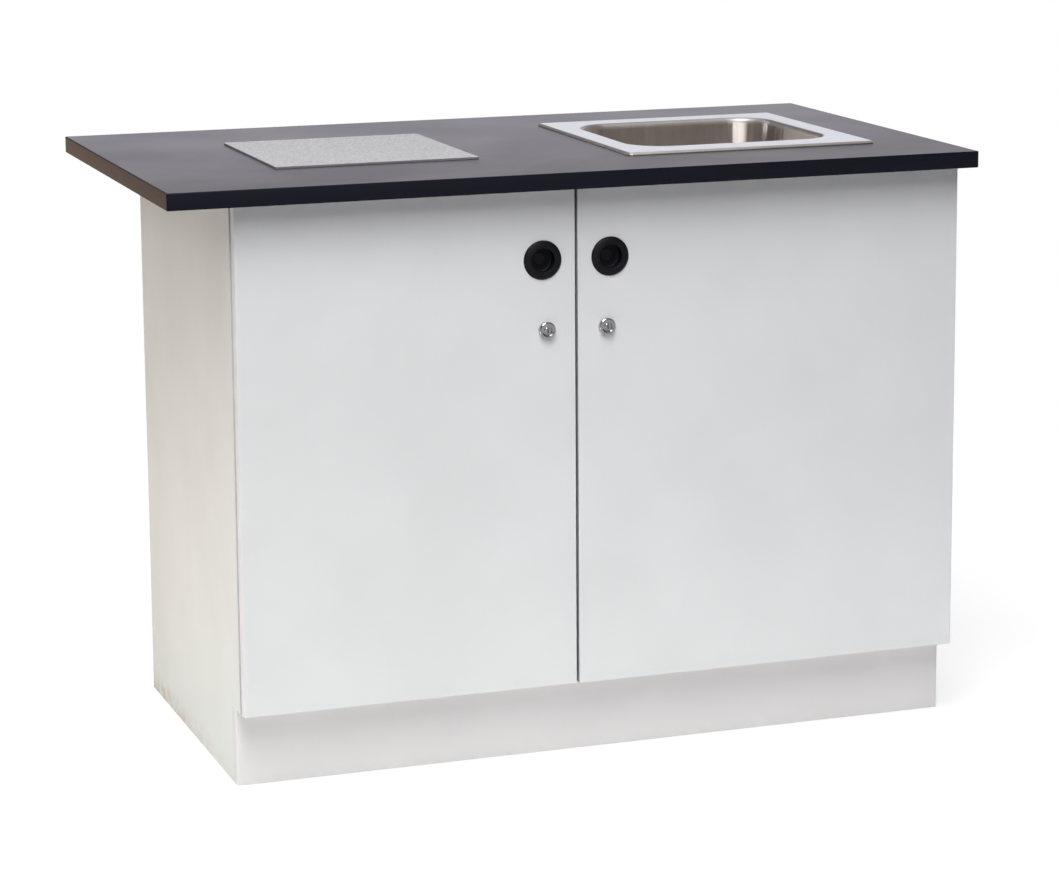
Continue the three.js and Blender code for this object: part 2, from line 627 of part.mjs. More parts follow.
// The slot takes the tips of both cams, wherever they turn.
const slotReach = Math.hypot(CAM_REACH, CAM_WIDTH / 2);
const slotEntry = LOCK_FROM_GAP - BOARD / 2;
const slotHalf = Math.sqrt(slotReach ** 2 - slotEntry ** 2) + CAM_SLOT_CLEARANCE;
const camY = [DOOR_FACE - CAM_FACE, DOOR_FACE - CAM_FACE + CAM_THICKNESS];
const slotX = [PARTITION_LEFT - CLEARANCE, PARTITION_RIGHT + CLEARANCE];
const slotY = [camY[0] - CAM_SLOT_CLEARANCE, camY[1] + CAM_SLOT_CLEARANCE];
const slotZ = [LOCK_HEIGHT - slotHalf, LOCK_HEIGHT + slotHalf];
const partition = block([PARTITION_LEFT, PARTITION_RIGHT], insideY, [BASE_TOP, TOP_UNDERSIDE])
  .subtract(block(slotX, slotY, slotZ));
addPiece(cupboard, 'partition', pinHoles(partition, PARTITION_LEFT, -1), WHITE_MELAMINE);

const backX = [INSIDE_LEFT - GROOVE, INSIDE_RIGHT + GROOVE];
const backY = [BACK_BOARD_FACE, BACK_BOARD_REAR];
const pipeHoleEnds = [BACK_BOARD_FACE - CLEARANCE, BACK_BOARD_REAR + CLEARANCE];
const pipeHole = rod(PIPE_RADIUS + PIPE_HOLE_CLEARANCE, ...pipeHoleEnds, 'back');
const backPanel = block(backX, backY, [BASE_HEIGHT, TOP_UNDERSIDE])
  .subtract(pipeHole.translate([SINK_X, 0, OUTLET_HEIGHT]));
addPiece(cupboard, 'back_panel', backPanel, WHITE_MELAMINE);

for (const [name, bayX] of [
  ['left', [INSIDE_LEFT, PARTITION_LEFT]],
  ['right', [PARTITION_RIGHT, INSIDE_RIGHT]],
]) {
  const frontRailY = [FRONT, FRONT + FRONT_RAIL];
  const frontRail = block(bayX, frontRailY, [TOP_UNDERSIDE - BOARD, TOP_UNDERSIDE]);
  addPiece(cupboard, `front_rail_${name}`, frontRail, WHITE_MELAMINE);
  const rearRailY = [BACK_BOARD_FACE - BOARD, BACK_BOARD_FACE];
  const rearRail = block(bayX, rearRailY, [TOP_UNDERSIDE - REAR_RAIL, TOP_UNDERSIDE]);
  addPiece(cupboard, `rear_rail_${name}`, rearRail, WHITE_MELAMINE);
}

const plinth = block([LEFT, RIGHT], [PLINTH_FACE, PLINTH_REAR], [0, BASE_HEIGHT]);
addPiece(cupboard, 'plinth', plinth, WHITE_MELAMINE);

const shelfX = [INSIDE_LEFT + SHELF_SIDE_GAP, PARTITION_LEFT - SHELF_SIDE_GAP];
const shelf = block(shelfX, shelfY, [SHELF_HEIGHT, SHELF_HEIGHT + BOARD]);
addPiece(cupboard, 'shelf', shelf, WHITE_MELAMINE);

for (const [sideName, face, inwards] of [['left', INSIDE_LEFT, 1], ['right', PARTITION_LEFT, -1]]) {
  const ends = [-inwards * PIN_IN_BOARD, inwards * PIN_UNDER_SHELF].sort((a, b) => a - b);
  for (const [endName, y] of pinPlaces) {
    const pin = pinRod(PIN_RADIUS, ...ends);
    addPiece(cupboard, `shelf_pin_${sideName}_${endName}`, pin, ZINC_PLATE, [face, y, pinHeight]);
  }
}

// Flush pull: a bevelled ring on the door and a cup, wider than its mouth, inside it
const pullInside = PULL_CUP - PULL_WALL;
const pull = turned([
  [0, -PULL_SINK],
  [PULL_CUP, -PULL_SINK],
  [PULL_CUP, 0],
  [PULL_RADIUS, 0],
  [PULL_RADIUS, PULL_EDGE],
  [PULL_RADIUS - PULL_SHOULDER_IN, PULL_SHOULDER],
  [PULL_MOUTH + PULL_CROWN, PULL_RISE],
  [PULL_MOUTH + PULL_LIP, PULL_RISE],
  [PULL_MOUTH, PULL_RISE - PULL_LIP],
  [PULL_MOUTH, 0],
  [pullInside, -PULL_WALL],
  [pullInside, PULL_WALL - PULL_SINK],
  [0, PULL_WALL - PULL_SINK],
], 'out', FINE_FACETS);

// Lock body: a bezel on the door and a barrel through it, bored for the plug
const plugFit = LOCK_PLUG + CLEARANCE;
const barrelFit = LOCK_BARREL + CLEARANCE;
const lockBody = turned([
  [plugFit, LOCK_END],
  [LOCK_BARREL, LOCK_END],
  [LOCK_BARREL, 0],
  [LOCK_BEZEL, 0],
  [LOCK_BEZEL, LOCK_RISE - LOCK_CHAMFER],
  [LOCK_BEZEL - LOCK_CHAMFER, LOCK_RISE],
  [plugFit, LOCK_RISE],
  [plugFit, LOCK_END],
], 'out');
const lockNut = hexNut(LOCK_NUT_FLATS, barrelFit, LOCK_NUT_THICKNESS, 'out');

// Plug: its face has the key slot, and its thinner tail passes through the cam
const plugFace = LOCK_RISE - CLEARANCE;
const tailFit = LOCK_TAIL + CLEARANCE;
const keySlotX = [-KEY_SLOT_WIDTH / 2, KEY_SLOT_WIDTH / 2];
const keySlotY = [-plugFace - CLEARANCE, KEY_SLOT_DEPTH - plugFace];
const keySlot = block(keySlotX, keySlotY, [-KEY_SLOT_HEIGHT / 2, KEY_SLOT_HEIGHT / 2]);
const lockPlug = turned([
  [0, CAM_FACE - CAM_THICKNESS],
  [LOCK_TAIL, CAM_FACE - CAM_THICKNESS],
  [LOCK_TAIL, LOCK_END - CLEARANCE],
  [LOCK_PLUG, LOCK_END - CLEARANCE],
  [LOCK_PLUG, plugFace],
  [0, plugFace],
], 'out').subtract(keySlot);

// Cam: a flat bar with a round end on the tail, hanging straight down when unlocked
const camShape = new THREE.Shape();
camShape.moveTo(-CAM_WIDTH / 2, -CAM_REACH);
camShape.lineTo(CAM_WIDTH / 2, -CAM_REACH);
camShape.absarc(0, 0, CAM_WIDTH / 2, 0, HALF_TURN);
const camBar = extruded(camShape, CAM_THICKNESS, 'out');
const cam = camBar.subtract(rod(tailFit, -CLEARANCE, CAM_THICKNESS + CLEARANCE, 'out'));

// Hinge cup: pressed into the door from behind, with holes for the pin in its wall
const cupMiddle = CUP_EDGE + CUP_RADIUS; // from the side of the cupboard
const cupInside = CUP_RADIUS - CUP_WALL;
const pinHole = HINGE_PIN + CLEARANCE;
const pivotOut = HINGE_PIVOT_IN - cupMiddle; // pivot from the middle of the cup
const pinHalf = Math.sqrt(CUP_RADIUS ** 2 - (pivotOut - HINGE_PIN) ** 2) - CLEARANCE;
const hingeCupBlank = turned([
  [0, -CUP_DEPTH],
  [CUP_RADIUS, -CUP_DEPTH],
  [CUP_RADIUS, 0],
  [CUP_RADIUS + CUP_FLANGE, 0],
  [CUP_RADIUS + CUP_FLANGE, CUP_FLANGE_THICKNESS],
  [cupInside, CUP_FLANGE_THICKNESS],
  [cupInside, CUP_WALL - CUP_DEPTH],
  [0, CUP_WALL - CUP_DEPTH],
], 'back');

// Arm: an eye on the pin, a reach across the cup, a rise out of it, and a foot on the plate.
// Across is measured from the side of the cupboard, and back from the pivot.
function hingeArm(hand) {
  const half = HINGE_ARM / 2;
  const pivotToFront = HINGE_PIVOT_DEEP + DOOR_STANDOFF;
  const footNear = BOARD + HINGE_PLATE + CLEARANCE;
  const riseNear = HINGE_PIVOT_IN + HINGE_REACH - half;
  const crossBack = pivotToFront + HINGE_RISE;
  const eyeZ = [-HINGE_EYE_WIDTH / 2, HINGE_EYE_WIDTH / 2];
  const armZ = [-HINGE_ARM_WIDTH / 2, HINGE_ARM_WIDTH / 2];
  const strip = (across, back, z) => block(across.map((place) => hand * place), back, z);
  const reach = strip([HINGE_PIVOT_IN, riseNear + HINGE_ARM], [-half, half], eyeZ);
  const rise = strip([riseNear, riseNear + HINGE_ARM], [-half, crossBack + HINGE_ARM], armZ);
  const cross = strip([footNear, riseNear + HINGE_ARM], [crossBack, crossBack + HINGE_ARM], armZ);
  const footEnd = pivotToFront + HINGE_ARM_LENGTH;
  const foot = strip([footNear, footNear + HINGE_ARM], [crossBack, footEnd], armZ);
  const pivot = [hand * HINGE_PIVOT_IN, 0, 0];
  const eye = rod(pinHole + HINGE_EYE_WALL, ...eyeZ, 'up', SMALL_FACETS).translate(pivot);
  const boreZ = [eyeZ[0] - CLEARANCE, eyeZ[1] + CLEARANCE];
  const bore = rod(pinHole, ...boreZ, 'up', SMALL_FACETS).translate(pivot);
  return reach.add(rise).add(cross).add(foot).add(eye).subtract(bore);
}

// Doors: each carries its pull, its lock and the cups and pins of its hinges
const doorY = [DOOR_FACE, DOOR_BACK];
const doorZ = [DOOR_BOTTOM, DOOR_TOP];
const hingeHeights = [['lower', DOOR_BOTTOM + HINGE_FROM_END], ['upper', DOOR_TOP - HINGE_FROM_END]];
const cupHole = rod(CUP_RADIUS + CLEARANCE, -CUP_DEPTH - CLEARANCE, CLEARANCE, 'back');
const pullHole = rod(PULL_CUP + CLEARANCE, -PULL_SINK - CLEARANCE, CLEARANCE, 'out', FINE_FACETS);
const lockHole = rod(barrelFit, -DOOR_THICKNESS - CLEARANCE, CLEARANCE, 'out');

// Hand is 1 for the door hung on the left and -1 for the door hung on the right.
for (const [name, hand, hungSide] of [['left', 1, LEFT], ['right', -1, RIGHT]]) {
  const door = new THREE.Group();
  unit.add(door);
  const doorX = [hungSide + hand * DOOR_REVEAL, MIDDLE - hand * DOOR_GAP / 2];
  const pullPlace = [MIDDLE - hand * PULL_FROM_GAP, DOOR_FACE, PULL_HEIGHT];
  const lockPlace = [MIDDLE - hand * LOCK_FROM_GAP, DOOR_FACE, LOCK_HEIGHT];
  const cupX = hungSide + hand * cupMiddle;

  let panel = block(doorX, doorY, doorZ)
    .subtract(pullHole.translate(pullPlace))
    .subtract(lockHole.translate(lockPlace));
  for (const [, z] of hingeHeights) {
    panel = panel.subtract(cupHole.translate([cupX, DOOR_BACK, z]));
  }
  addPiece(door, `door_${name}`, panel, WHITE_MELAMINE);
  addPiece(door, `pull_${name}`, pull, BLACK_PLASTIC, pullPlace);

  const [lockX, , lockZ] = lockPlace;
  const nutPlace = [lockX, DOOR_BACK + LOCK_NUT_THICKNESS + CLEARANCE, lockZ];
  addPiece(door, `lock_body_${name}`, lockBody, CHROME, lockPlace);
  addPiece(door, `lock_nut_${name}`, lockNut, ZINC_PLATE, nutPlace);
  addPiece(door, `lock_plug_${name}`, lockPlug, CHROME, lockPlace);
  addPiece(door, `lock_cam_${name}`, cam, ZINC_PLATE, [lockX, camY[1], lockZ]);

  for (const [level, z] of hingeHeights) {
    const pivotY = DOOR_BACK - HINGE_PIVOT_DEEP;
    const pivotX = hungSide + hand * HINGE_PIVOT_IN;
    const wallHoles = rod(pinHole, -cupMiddle, cupMiddle, 'up', SMALL_FACETS)
      .translate([hand * pivotOut, -HINGE_PIVOT_DEEP, 0]);
    const hingePin = rod(HINGE_PIN, -pinHalf, pinHalf, 'up', SMALL_FACETS);
    const hingeCup = hingeCupBlank.subtract(wallHoles);
    addPiece(door, `hinge_cup_${name}_${level}`, hingeCup, ZINC_PLATE, [cupX, DOOR_BACK, z]);
    addPiece(door, `hinge_pin_${name}_${level}`, hingePin, ZINC_PLATE, [pivotX, pivotY, z]);
    addPiece(cupboard, `hinge_arm_${name}_${level}`, hingeArm(hand), ZINC_PLATE, [hungSide, pivotY, z]);
    const plateX = [hand * BOARD, hand * (BOARD + HINGE_PLATE)];
    const plateY = [FRONT + HINGE_PLATE_START, FRONT + HINGE_PLATE_START + HINGE_PLATE_LENGTH];
    const plate = block(plateX, plateY, [-HINGE_PLATE_HEIGHT / 2, HINGE_PLATE_HEIGHT / 2]);
    addPiece(cupboard, `hinge_plate_${name}_${level}`, plate, ZINC_PLATE, [hungSide, 0, z]);
  }
}

export default unit;
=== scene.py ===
# Looks of a laboratory sink unit: a two-door cupboard under a black worktop with an inset
# steel sink and a pale heat mat. Metres, +Z up, the doors face -Y.
import math

import bmesh
import bpy
import numpy as np
from mathutils import Matrix, Vector, geometry


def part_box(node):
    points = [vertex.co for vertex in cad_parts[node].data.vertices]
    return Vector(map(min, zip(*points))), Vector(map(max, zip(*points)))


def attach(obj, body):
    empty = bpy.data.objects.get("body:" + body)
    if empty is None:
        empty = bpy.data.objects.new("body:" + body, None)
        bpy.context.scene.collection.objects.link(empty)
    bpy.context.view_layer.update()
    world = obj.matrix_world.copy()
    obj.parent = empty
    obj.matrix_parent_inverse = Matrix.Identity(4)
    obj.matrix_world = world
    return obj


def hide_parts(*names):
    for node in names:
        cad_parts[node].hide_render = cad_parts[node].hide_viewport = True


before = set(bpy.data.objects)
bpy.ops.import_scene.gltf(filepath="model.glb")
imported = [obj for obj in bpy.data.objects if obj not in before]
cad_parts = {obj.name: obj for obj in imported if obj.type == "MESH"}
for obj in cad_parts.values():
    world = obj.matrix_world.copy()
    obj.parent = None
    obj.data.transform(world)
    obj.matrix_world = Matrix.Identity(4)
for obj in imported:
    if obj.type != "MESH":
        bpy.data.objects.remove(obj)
scene = bpy.context.scene
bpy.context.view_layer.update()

# Cupboard boards: 18 mm chipboard faced with white melamine paper on both sides, sawn square and
# edged with thin plastic strip. Dowels and glue hold the boards, and the thin back slides into
# grooves. The faces are pressed with a fine pearl grain, and shoes have marked them near the floor.
MM = 0.001
BOARD_EDGE = 0.5 * MM
PEARL_GRAIN = 2.4 * MM  # drawn about four times coarser than the paper's own grain, so that it shows
CLOUDING = 160 * MM
SCUFF_LENGTH = 24 * MM
SCUFF_REACH = 34 * MM  # height above the floor where the marks fade out
SCUFF_FRONT = -120 * MM  # the marks grow from here to the damp corner at the wall
SCUFF_BACK = 320 * MM
BROWN_SCUFF = "#B5865A"


def linear(colour):
    """An sRGB hex colour as linear RGBA: c / 12.92 in the dark toe, ((c + 0.055) / 1.055) ^ 2.4 above it."""
    channels = np.array([int(colour[i:i + 2], 16) for i in (1, 3, 5)]) / 255
    light = np.where(channels <= 0.04045, channels / 12.92, ((channels + 0.055) / 1.055) ** 2.4)
    return (*light.tolist(), 1.0)


def add(tree, kind, inputs, out=None, **settings):
    """Adds one shader node with its settings, sets each input to a value or links a socket to it,
    and gives back the named output, or the first one."""
    made = tree.nodes.new("ShaderNode" + kind)
    for name, setting in settings.items():
        setattr(made, name, setting)
    sockets = {socket.identifier: socket for socket in made.inputs}
    for name, value in inputs.items():
        if isinstance(value, bpy.types.NodeSocket):
            tree.links.new(value, sockets[name])
        else:
            sockets[name].default_value = value
    outputs = {socket.identifier: socket for socket in made.outputs}
    return outputs[out] if out else made.outputs[0] if made.outputs else None


def new_material(name):
    """An empty material, its node tree, and the place of each surface point on the unit in metres."""
    material = bpy.data.materials.new(name)
    material.use_nodes = True
    material.node_tree.nodes.clear()
    return material, material.node_tree, add(material.node_tree, "TexCoord", {}, out="Object")


def melamine(name, paper, clouded, scuffing, shaded_facing=None, strip="#B8B8BB"):
    """Melamine-faced board: a hard satin paper whose white drifts a little from sheet to sheet,
    with a pearl grain that breaks up the gloss and brown marks low down towards the wall. Faces
    turned the given way are painted in the strip colour, a painted shade."""
    material, tree, place = new_material(name)
    clouds = add(tree, "TexNoise", {"Vector": place, "Scale": 1 / CLOUDING, "Detail": 3.0})
    grain = add(tree, "TexNoise", {"Vector": place, "Scale": 1 / PEARL_GRAIN, "Detail": 2.0})
    tone = add(tree, "MapRange", {"Value": clouds, "From Min": 0.35, "From Max": 0.65})
    white = add(tree, "Mix", {"Factor_Float": tone, "A_Color": linear(paper), "B_Color": linear(clouded)},
                out="Result_Color", data_type="RGBA")
    height = add(tree, "SeparateXYZ", {"Vector": place}, out="Z")
    low = add(tree, "MapRange", {"Value": height, "From Min": 0.0, "From Max": SCUFF_REACH,
                                 "To Min": scuffing, "To Max": 0.0})
    depth = add(tree, "SeparateXYZ", {"Vector": place}, out="Y")
    damp = add(tree, "MapRange", {"Value": depth, "From Min": SCUFF_FRONT, "From Max": SCUFF_BACK,
                                  "To Min": 0.1, "To Max": 1.0})
    marks = add(tree, "TexNoise", {"Vector": place, "Scale": 1 / SCUFF_LENGTH, "Detail": 5.0, "Roughness": 0.6})
    rubbed = add(tree, "MapRange", {"Value": marks, "From Min": 0.36, "From Max": 0.7})
    spread = add(tree, "Math", {"Value": low, "Value_001": rubbed}, operation="MULTIPLY")
    scuffed = add(tree, "Math", {"Value": spread, "Value_001": damp}, operation="MULTIPLY")
    colour = add(tree, "Mix", {"Factor_Float": scuffed, "A_Color": white, "B_Color": linear(BROWN_SCUFF)},
                 out="Result_Color", data_type="RGBA")
    # Painted shade: the faces turned the given way take the strip colour.
    if shaded_facing:
        facing = add(tree, "TexCoord", {}, out="Normal")
        turned_to = add(tree, "VectorMath", {"Vector": facing, "Vector_001": shaded_facing}, out="Value",
                        operation="DOT_PRODUCT")
        edge = add(tree, "MapRange", {"Value": turned_to, "From Min": 0.6, "From Max": 0.9})
        colour = add(tree, "Mix", {"Factor_Float": edge, "A_Color": colour, "B_Color": linear(strip)},
                     out="Result_Color", data_type="RGBA")
    satin = add(tree, "MapRange", {"Value": grain, "To Min": 0.42, "To Max": 0.56})
    relief = add(tree, "Bump", {"Height": grain, "Strength": 0.16, "Distance": 0.05 * MM})
    shader = add(tree, "BsdfPrincipled", {"Base Color": colour, "Roughness": satin, "Normal": relief})
    add(tree, "OutputMaterial", {"Surface": shader})
    return material


def finish_node(name, material, edge):
    """Gives a solid its material, joins its loose triangles into flat faces, and rounds its edges."""
    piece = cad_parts[name]
    piece.data.materials.clear()
    piece.data.materials.append(material)
    piece.modifiers.new("weld", "WELD").merge_threshold = 0.01 * MM
    flat = piece.modifiers.new("flat faces", "DECIMATE")
    flat.decimate_type = "DISSOLVE"
    flat.angle_limit = math.radians(1)
    rounding = piece.modifiers.new("edges", "BEVEL")
    rounding.width = edge
    rounding.segments = 2
    rounding.limit_method = "ANGLE"
    rounding.angle_limit = math.radians(40)
    rounding.use_clamp_overlap = True


white_melamine = melamine("white_melamine", "#F3F1EF", "#EFEDEB", scuffing=0.2)
# Painted shade: the front edges of these boards are painted grey for the gap between the doors.
front_shaded_melamine = melamine("front_shaded_white_melamine", "#EFEEEB", "#EAE9E6", scuffing=0.2, shaded_facing=(0, -1, 0))
# Painted light: the left side panel is tinted as it looks under the warm side light, and its front edge is painted pale
# grey as painted shade for the gap beside the door.
cream_melamine = melamine("cream_melamine", "#E4E7E1", "#DFE2DB", scuffing=1.1, shaded_facing=(0, -1, 0),
                          strip="#CDCDCE")
# Painted shade: the plinth's left end is painted in the left side panel's tint.
plinth_melamine = melamine("plinth_melamine", "#F3F1EF", "#EFEDEB", scuffing=0.3, shaded_facing=(-1, 0, 0),
                           strip="#DFE0DA")
finish_node("side_panel_left", cream_melamine, BOARD_EDGE)
for board in ("side_panel_right", "base_panel", "partition"):
    finish_node(board, front_shaded_melamine, BOARD_EDGE)
finish_node("plinth", plinth_melamine, BOARD_EDGE)
for board in ("back_panel", "front_rail_left", "front_rail_right", "rear_rail_left", "rear_rail_right"):
    finish_node(board, white_melamine, BOARD_EDGE)

# Shelf and its pins: a loose melamine board in the left bay, on four zinc-plated steel pins that
# push into drilled holes, with rounded ends so that they go in easily.
PIN_END = 0.8 * MM
RING_STEPS = 24  # points in each quarter of a ring
ANGLE = (np.arange(4 * RING_STEPS) + 0.5) / (4 * RING_STEPS) * 2 * math.pi
SHARP_EDGE = math.radians(38)
ZINC_SPANGLE = 9 * MM
ZINC_SCRATCH = 0.7 * MM
# Rows give where a ring's own across, along and height directions point in the unit.
UP = np.eye(3)
OUT_OF_DOOR = np.array([[1, 0, 0], [0, 0, 1], [0, -1, 0]])
TO_THE_BACK = np.array([[1, 0, 0], [0, 0, 1], [0, 1, 0]])
TO_THE_RIGHT = np.array([[0, 1, 0], [0, 0, 1], [1, 0, 0]])


def zinc_plate():
    """Bright zinc on pressed steel: a bluish silver with a faint crystal mottle and fine rubbing."""
    material, tree, place = new_material("zinc_plated_steel")
    spangle = add(tree, "TexVoronoi", {"Vector": place, "Scale": 1 / ZINC_SPANGLE}, out="Color")
    shade = add(tree, "SeparateXYZ", {"Vector": spangle}, out="X")
    colour = add(tree, "Mix", {"Factor_Float": shade, "A_Color": linear("#B9BCBF"),
                               "B_Color": linear("#C9CBCC")}, out="Result_Color", data_type="RGBA")
    rubbing = add(tree, "TexNoise", {"Vector": place, "Scale": 1 / ZINC_SCRATCH, "Detail": 3.0})
    gloss = add(tree, "MapRange", {"Value": rubbing, "To Min": 0.29, "To Max": 0.44})
    relief = add(tree, "Bump", {"Height": rubbing, "Strength": 0.1, "Distance": 0.02 * MM})
    shader = add(tree, "BsdfPrincipled", {"Base Color": colour, "Metallic": 1.0, "Roughness": gloss,
                                          "Normal": relief})
    add(tree, "OutputMaterial", {"Surface": shader})
    return material


def rings(half_width, half_depth, corner, height):
    """Rounded rectangles stacked along a height, one row each: in every quarter, the corner's centre
    plus its radius times (cos, sin) of the angle. A circle has half sizes equal to its corner."""
    sizes = np.broadcast_arrays(*(np.atleast_1d(size) for size in (half_width, half_depth, corner, height)))
    half_width, half_depth, corner, height = (size[:, None].astype(float) for size in sizes)
    quarter = np.repeat(np.arange(4), RING_STEPS)
    angle = (quarter + np.tile((np.arange(RING_STEPS) + 0.5) / RING_STEPS, 4)) * math.pi / 2
    side = np.where((quarter == 0) | (quarter == 3), 1, -1)
    end = np.where(quarter < 2, 1, -1)
    across = side * (half_width - corner) + corner * np.cos(angle)
    along = end * (half_depth - corner) + corner * np.sin(angle)
    return np.stack([across, along, np.broadcast_to(height, across.shape)], axis=-1)


def rounded(corners, closed=False, steps=5):
    """An outline of (radius, height, rounding) corners with each corner eased: between the points
    one rounding before and after it runs a parabola, (1-t)^2 a + 2 t (1-t) corner + t^2 b."""
    corners = np.array(corners, float)
    points = corners[:, :2]
    before = np.roll(points, 1, axis=0) - points
    after = np.roll(points, -1, axis=0) - points
    ease = corners[:, 2:]
    start = points + before * ease / np.linalg.norm(before, axis=1, keepdims=True)
    end = points + after * ease / np.linalg.norm(after, axis=1, keepdims=True)
    t = np.linspace(0, 1, steps)[None, :, None]
    arcs = (1 - t) ** 2 * start[:, None] + 2 * t * (1 - t) * points[:, None] + t ** 2 * end[:, None]
    if closed:
        return arcs.reshape(-1, 2)
    return np.concatenate([points[:1], arcs[1:-1].reshape(-1, 2), points[-1:]])


def spun(radius, height, centre, axes):
    """Rings round an axis: at each angle, the radius times (cos, sin), and the height. Both may
    change from ring to ring and with the angle."""
    radius, height = np.broadcast_arrays(radius + 0 * ANGLE, height)
    rows = np.stack([radius * np.cos(ANGLE), radius * np.sin(ANGLE), height], axis=-1)
    return np.array(centre) + rows @ axes


def turned(outline, centre, axes):
    """An outline of (radius, height) points spun into rings round a centre, along an axis."""
    return spun(outline[:, :1], outline[:, 1:], centre, axes)


def surface(name, grid, material, loop=False):
    """A mesh over rows of points. Each row runs round and meets itself, and quads join it to the
    next. A loop also joins the last row to the first; otherwise a flat face closes each end."""
    rows, columns = grid.shape[:2]
    index = np.arange(rows * columns).reshape(rows, columns)
    here = index if loop else index[:-1]
    there = np.roll(index, -1, axis=0) if loop else index[1:]
    quads = np.stack([here, np.roll(here, -1, 1), np.roll(there, -1, 1), there], axis=-1)
    faces = quads.reshape(-1, 4).tolist()
    if not loop:
        faces += [index[0].tolist(), index[-1].tolist()]
    mesh = bpy.data.meshes.new(name)
    mesh.from_pydata(grid.reshape(-1, 3).tolist(), [], faces)
    shell = bmesh.new()
    shell.from_mesh(mesh)
    bmesh.ops.recalc_face_normals(shell, faces=shell.faces)
    shell.to_mesh(mesh)
    shell.free()
    mesh.shade_smooth()
    mesh.set_sharp_from_angle(angle=SHARP_EDGE)
    mesh.materials.append(material)
    piece = bpy.data.objects.new(name, mesh)
    scene.collection.objects.link(piece)
    return piece


def stand_for(piece, body, slot, *nodes):
    """The piece moves with a body and is shown in place of the named solids; the slot is not used."""
    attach(piece, body)
    if nodes:
        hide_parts(*nodes)


finish_node("shelf", front_shaded_melamine, BOARD_EDGE)
zinc = zinc_plate()
for corner in ("left_front", "left_rear", "right_front", "right_rear"):
    low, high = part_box("shelf_pin_" + corner)
    pin_radius = (high.z - low.z) / 2
    outline = rounded([
        (pin_radius - PIN_END, low.x, 0),
        (pin_radius, low.x, PIN_END / 2),
        (pin_radius, high.x, PIN_END / 2),
        (pin_radius - PIN_END, high.x, 0),
    ])
    pin = surface("pin_" + corner, turned(outline, (0, (low.y + high.y) / 2, (low.z + high.z) / 2),
                                          TO_THE_RIGHT), zinc)
    stand_for(pin, "cabinet", "zinc_plated_steel", "shelf_pin_" + corner)

# Worktop: chipboard under a black high-pressure laminate with a suede texture, edged with a
# 2 mm black plastic strip that is glued on and milled to a small radius.
LAMINATE_GRAIN = 1.6 * MM  # coarser than the real suede, so that it shows
WIPE_MARK = 220 * MM
SHEEN_DEPTH = 340 * MM  # the painted sheen and the specular level grow over this far to each side of the worktop's middle
STRIP_ROUNDING = 1.4 * MM
STRIP_INNER_CORNER = 0.4 * MM


def laminate():
    """Black laminate: phenolic paper pressed against a suede plate, nearly black by itself, whose
    satin skin picks up a broad grey sheen at low angles and faint wipe marks. Its specular level
    rises from front to back, and towards the back its colour is painted paler and more violet, a
    painted reflection of the pale wall behind."""
    material, tree, place = new_material("black_laminate")
    suede = add(tree, "TexNoise", {"Vector": place, "Scale": 1 / LAMINATE_GRAIN, "Detail": 3.0})
    wiped = add(tree, "TexNoise", {"Vector": place, "Scale": 1 / WIPE_MARK, "Detail": 4.0, "Distortion": 0.6})
    mottled_black = add(tree, "Mix", {"Factor_Float": wiped, "A_Color": linear("#1C1A20"),
                              "B_Color": linear("#222027")}, out="Result_Color", data_type="RGBA")
    depth = add(tree, "SeparateXYZ", {"Vector": place}, out="Y")
    reach = add(tree, "MapRange", {"Value": depth, "From Min": -SHEEN_DEPTH, "From Max": SHEEN_DEPTH})
    # Painted reflection: towards the back the colour turns paler and more violet.
    colour = add(tree, "Mix", {"Factor_Float": reach, "A_Color": mottled_black, "B_Color": linear("#332F3E")},
                 out="Result_Color", data_type="RGBA")
    satin = add(tree, "MapRange", {"Value": wiped, "From Min": 0.3, "From Max": 0.7,
                                   "To Min": 0.34, "To Max": 0.40})
    sheen = add(tree, "MapRange", {"Value": reach, "To Min": 0.27, "To Max": 0.85})
    relief = add(tree, "Bump", {"Height": suede, "Strength": 0.12, "Distance": 0.05 * MM})
    shader = add(tree, "BsdfPrincipled", {"Base Color": colour, "Roughness": satin, "Normal": relief,
                                          "Specular IOR Level": sheen})
    add(tree, "OutputMaterial", {"Surface": shader})
    return material


def edging_strip():
    """Black edging strip: extruded plastic, smooth and a little shinier than the laminate, with
    fine scrape lines along its length."""
    material, tree, place = new_material("black_edging")
    drawn = add(tree, "Mapping", {"Vector": place, "Scale": (0.03, 0.03, 1.0)})
    scrape = add(tree, "TexNoise", {"Vector": drawn, "Scale": 1 / (1.2 * MM), "Detail": 2.0})
    colour = add(tree, "Mix", {"Factor_Float": scrape, "A_Color": linear("#0A0C17"),
                               "B_Color": linear("#10121E")}, out="Result_Color", data_type="RGBA")
    gloss = add(tree, "MapRange", {"Value": scrape, "To Min": 0.34, "To Max": 0.46})
    relief = add(tree, "Bump", {"Height": scrape, "Strength": 0.08, "Distance": 0.03 * MM})
    shader = add(tree, "BsdfPrincipled", {"Base Color": colour, "Roughness": gloss, "Normal": relief,
                                          "Specular IOR Level": 0.17})
    add(tree, "OutputMaterial", {"Surface": shader})
    return material


finish_node("worktop", laminate(), 0.1 * MM)
strip_low, strip_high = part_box("worktop_edging")
board_low, board_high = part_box("worktop")
strip_depth = board_low.x - strip_low.x
strip_section = rounded([
    (0, strip_low.z, 0.05 * MM),
    (strip_depth, strip_low.z, STRIP_ROUNDING),
    (strip_depth, strip_high.z, STRIP_ROUNDING),
    (0, strip_high.z, 0.05 * MM),
], closed=True)
strip_out, strip_height = strip_section.T
strip = surface("worktop_strip", rings(board_high.x + strip_out, board_high.y + strip_out,
                                       STRIP_INNER_CORNER + strip_out, strip_height), edging_strip(), loop=True)
stand_for(strip, "cabinet", "black_edging", "worktop_edging")

# Heat mat: a 3 mm sheet of pale mineral board with fine grey and white specks, sawn square and
# bonded to the worktop. Its sawn side faces are painted dark grey, a painted shade along its edges.
MAT_CORNER = 2 * MM
MAT_EDGE = 0.5 * MM
SPECK = 2 * MM
MAT_BLOTCH = 26 * MM


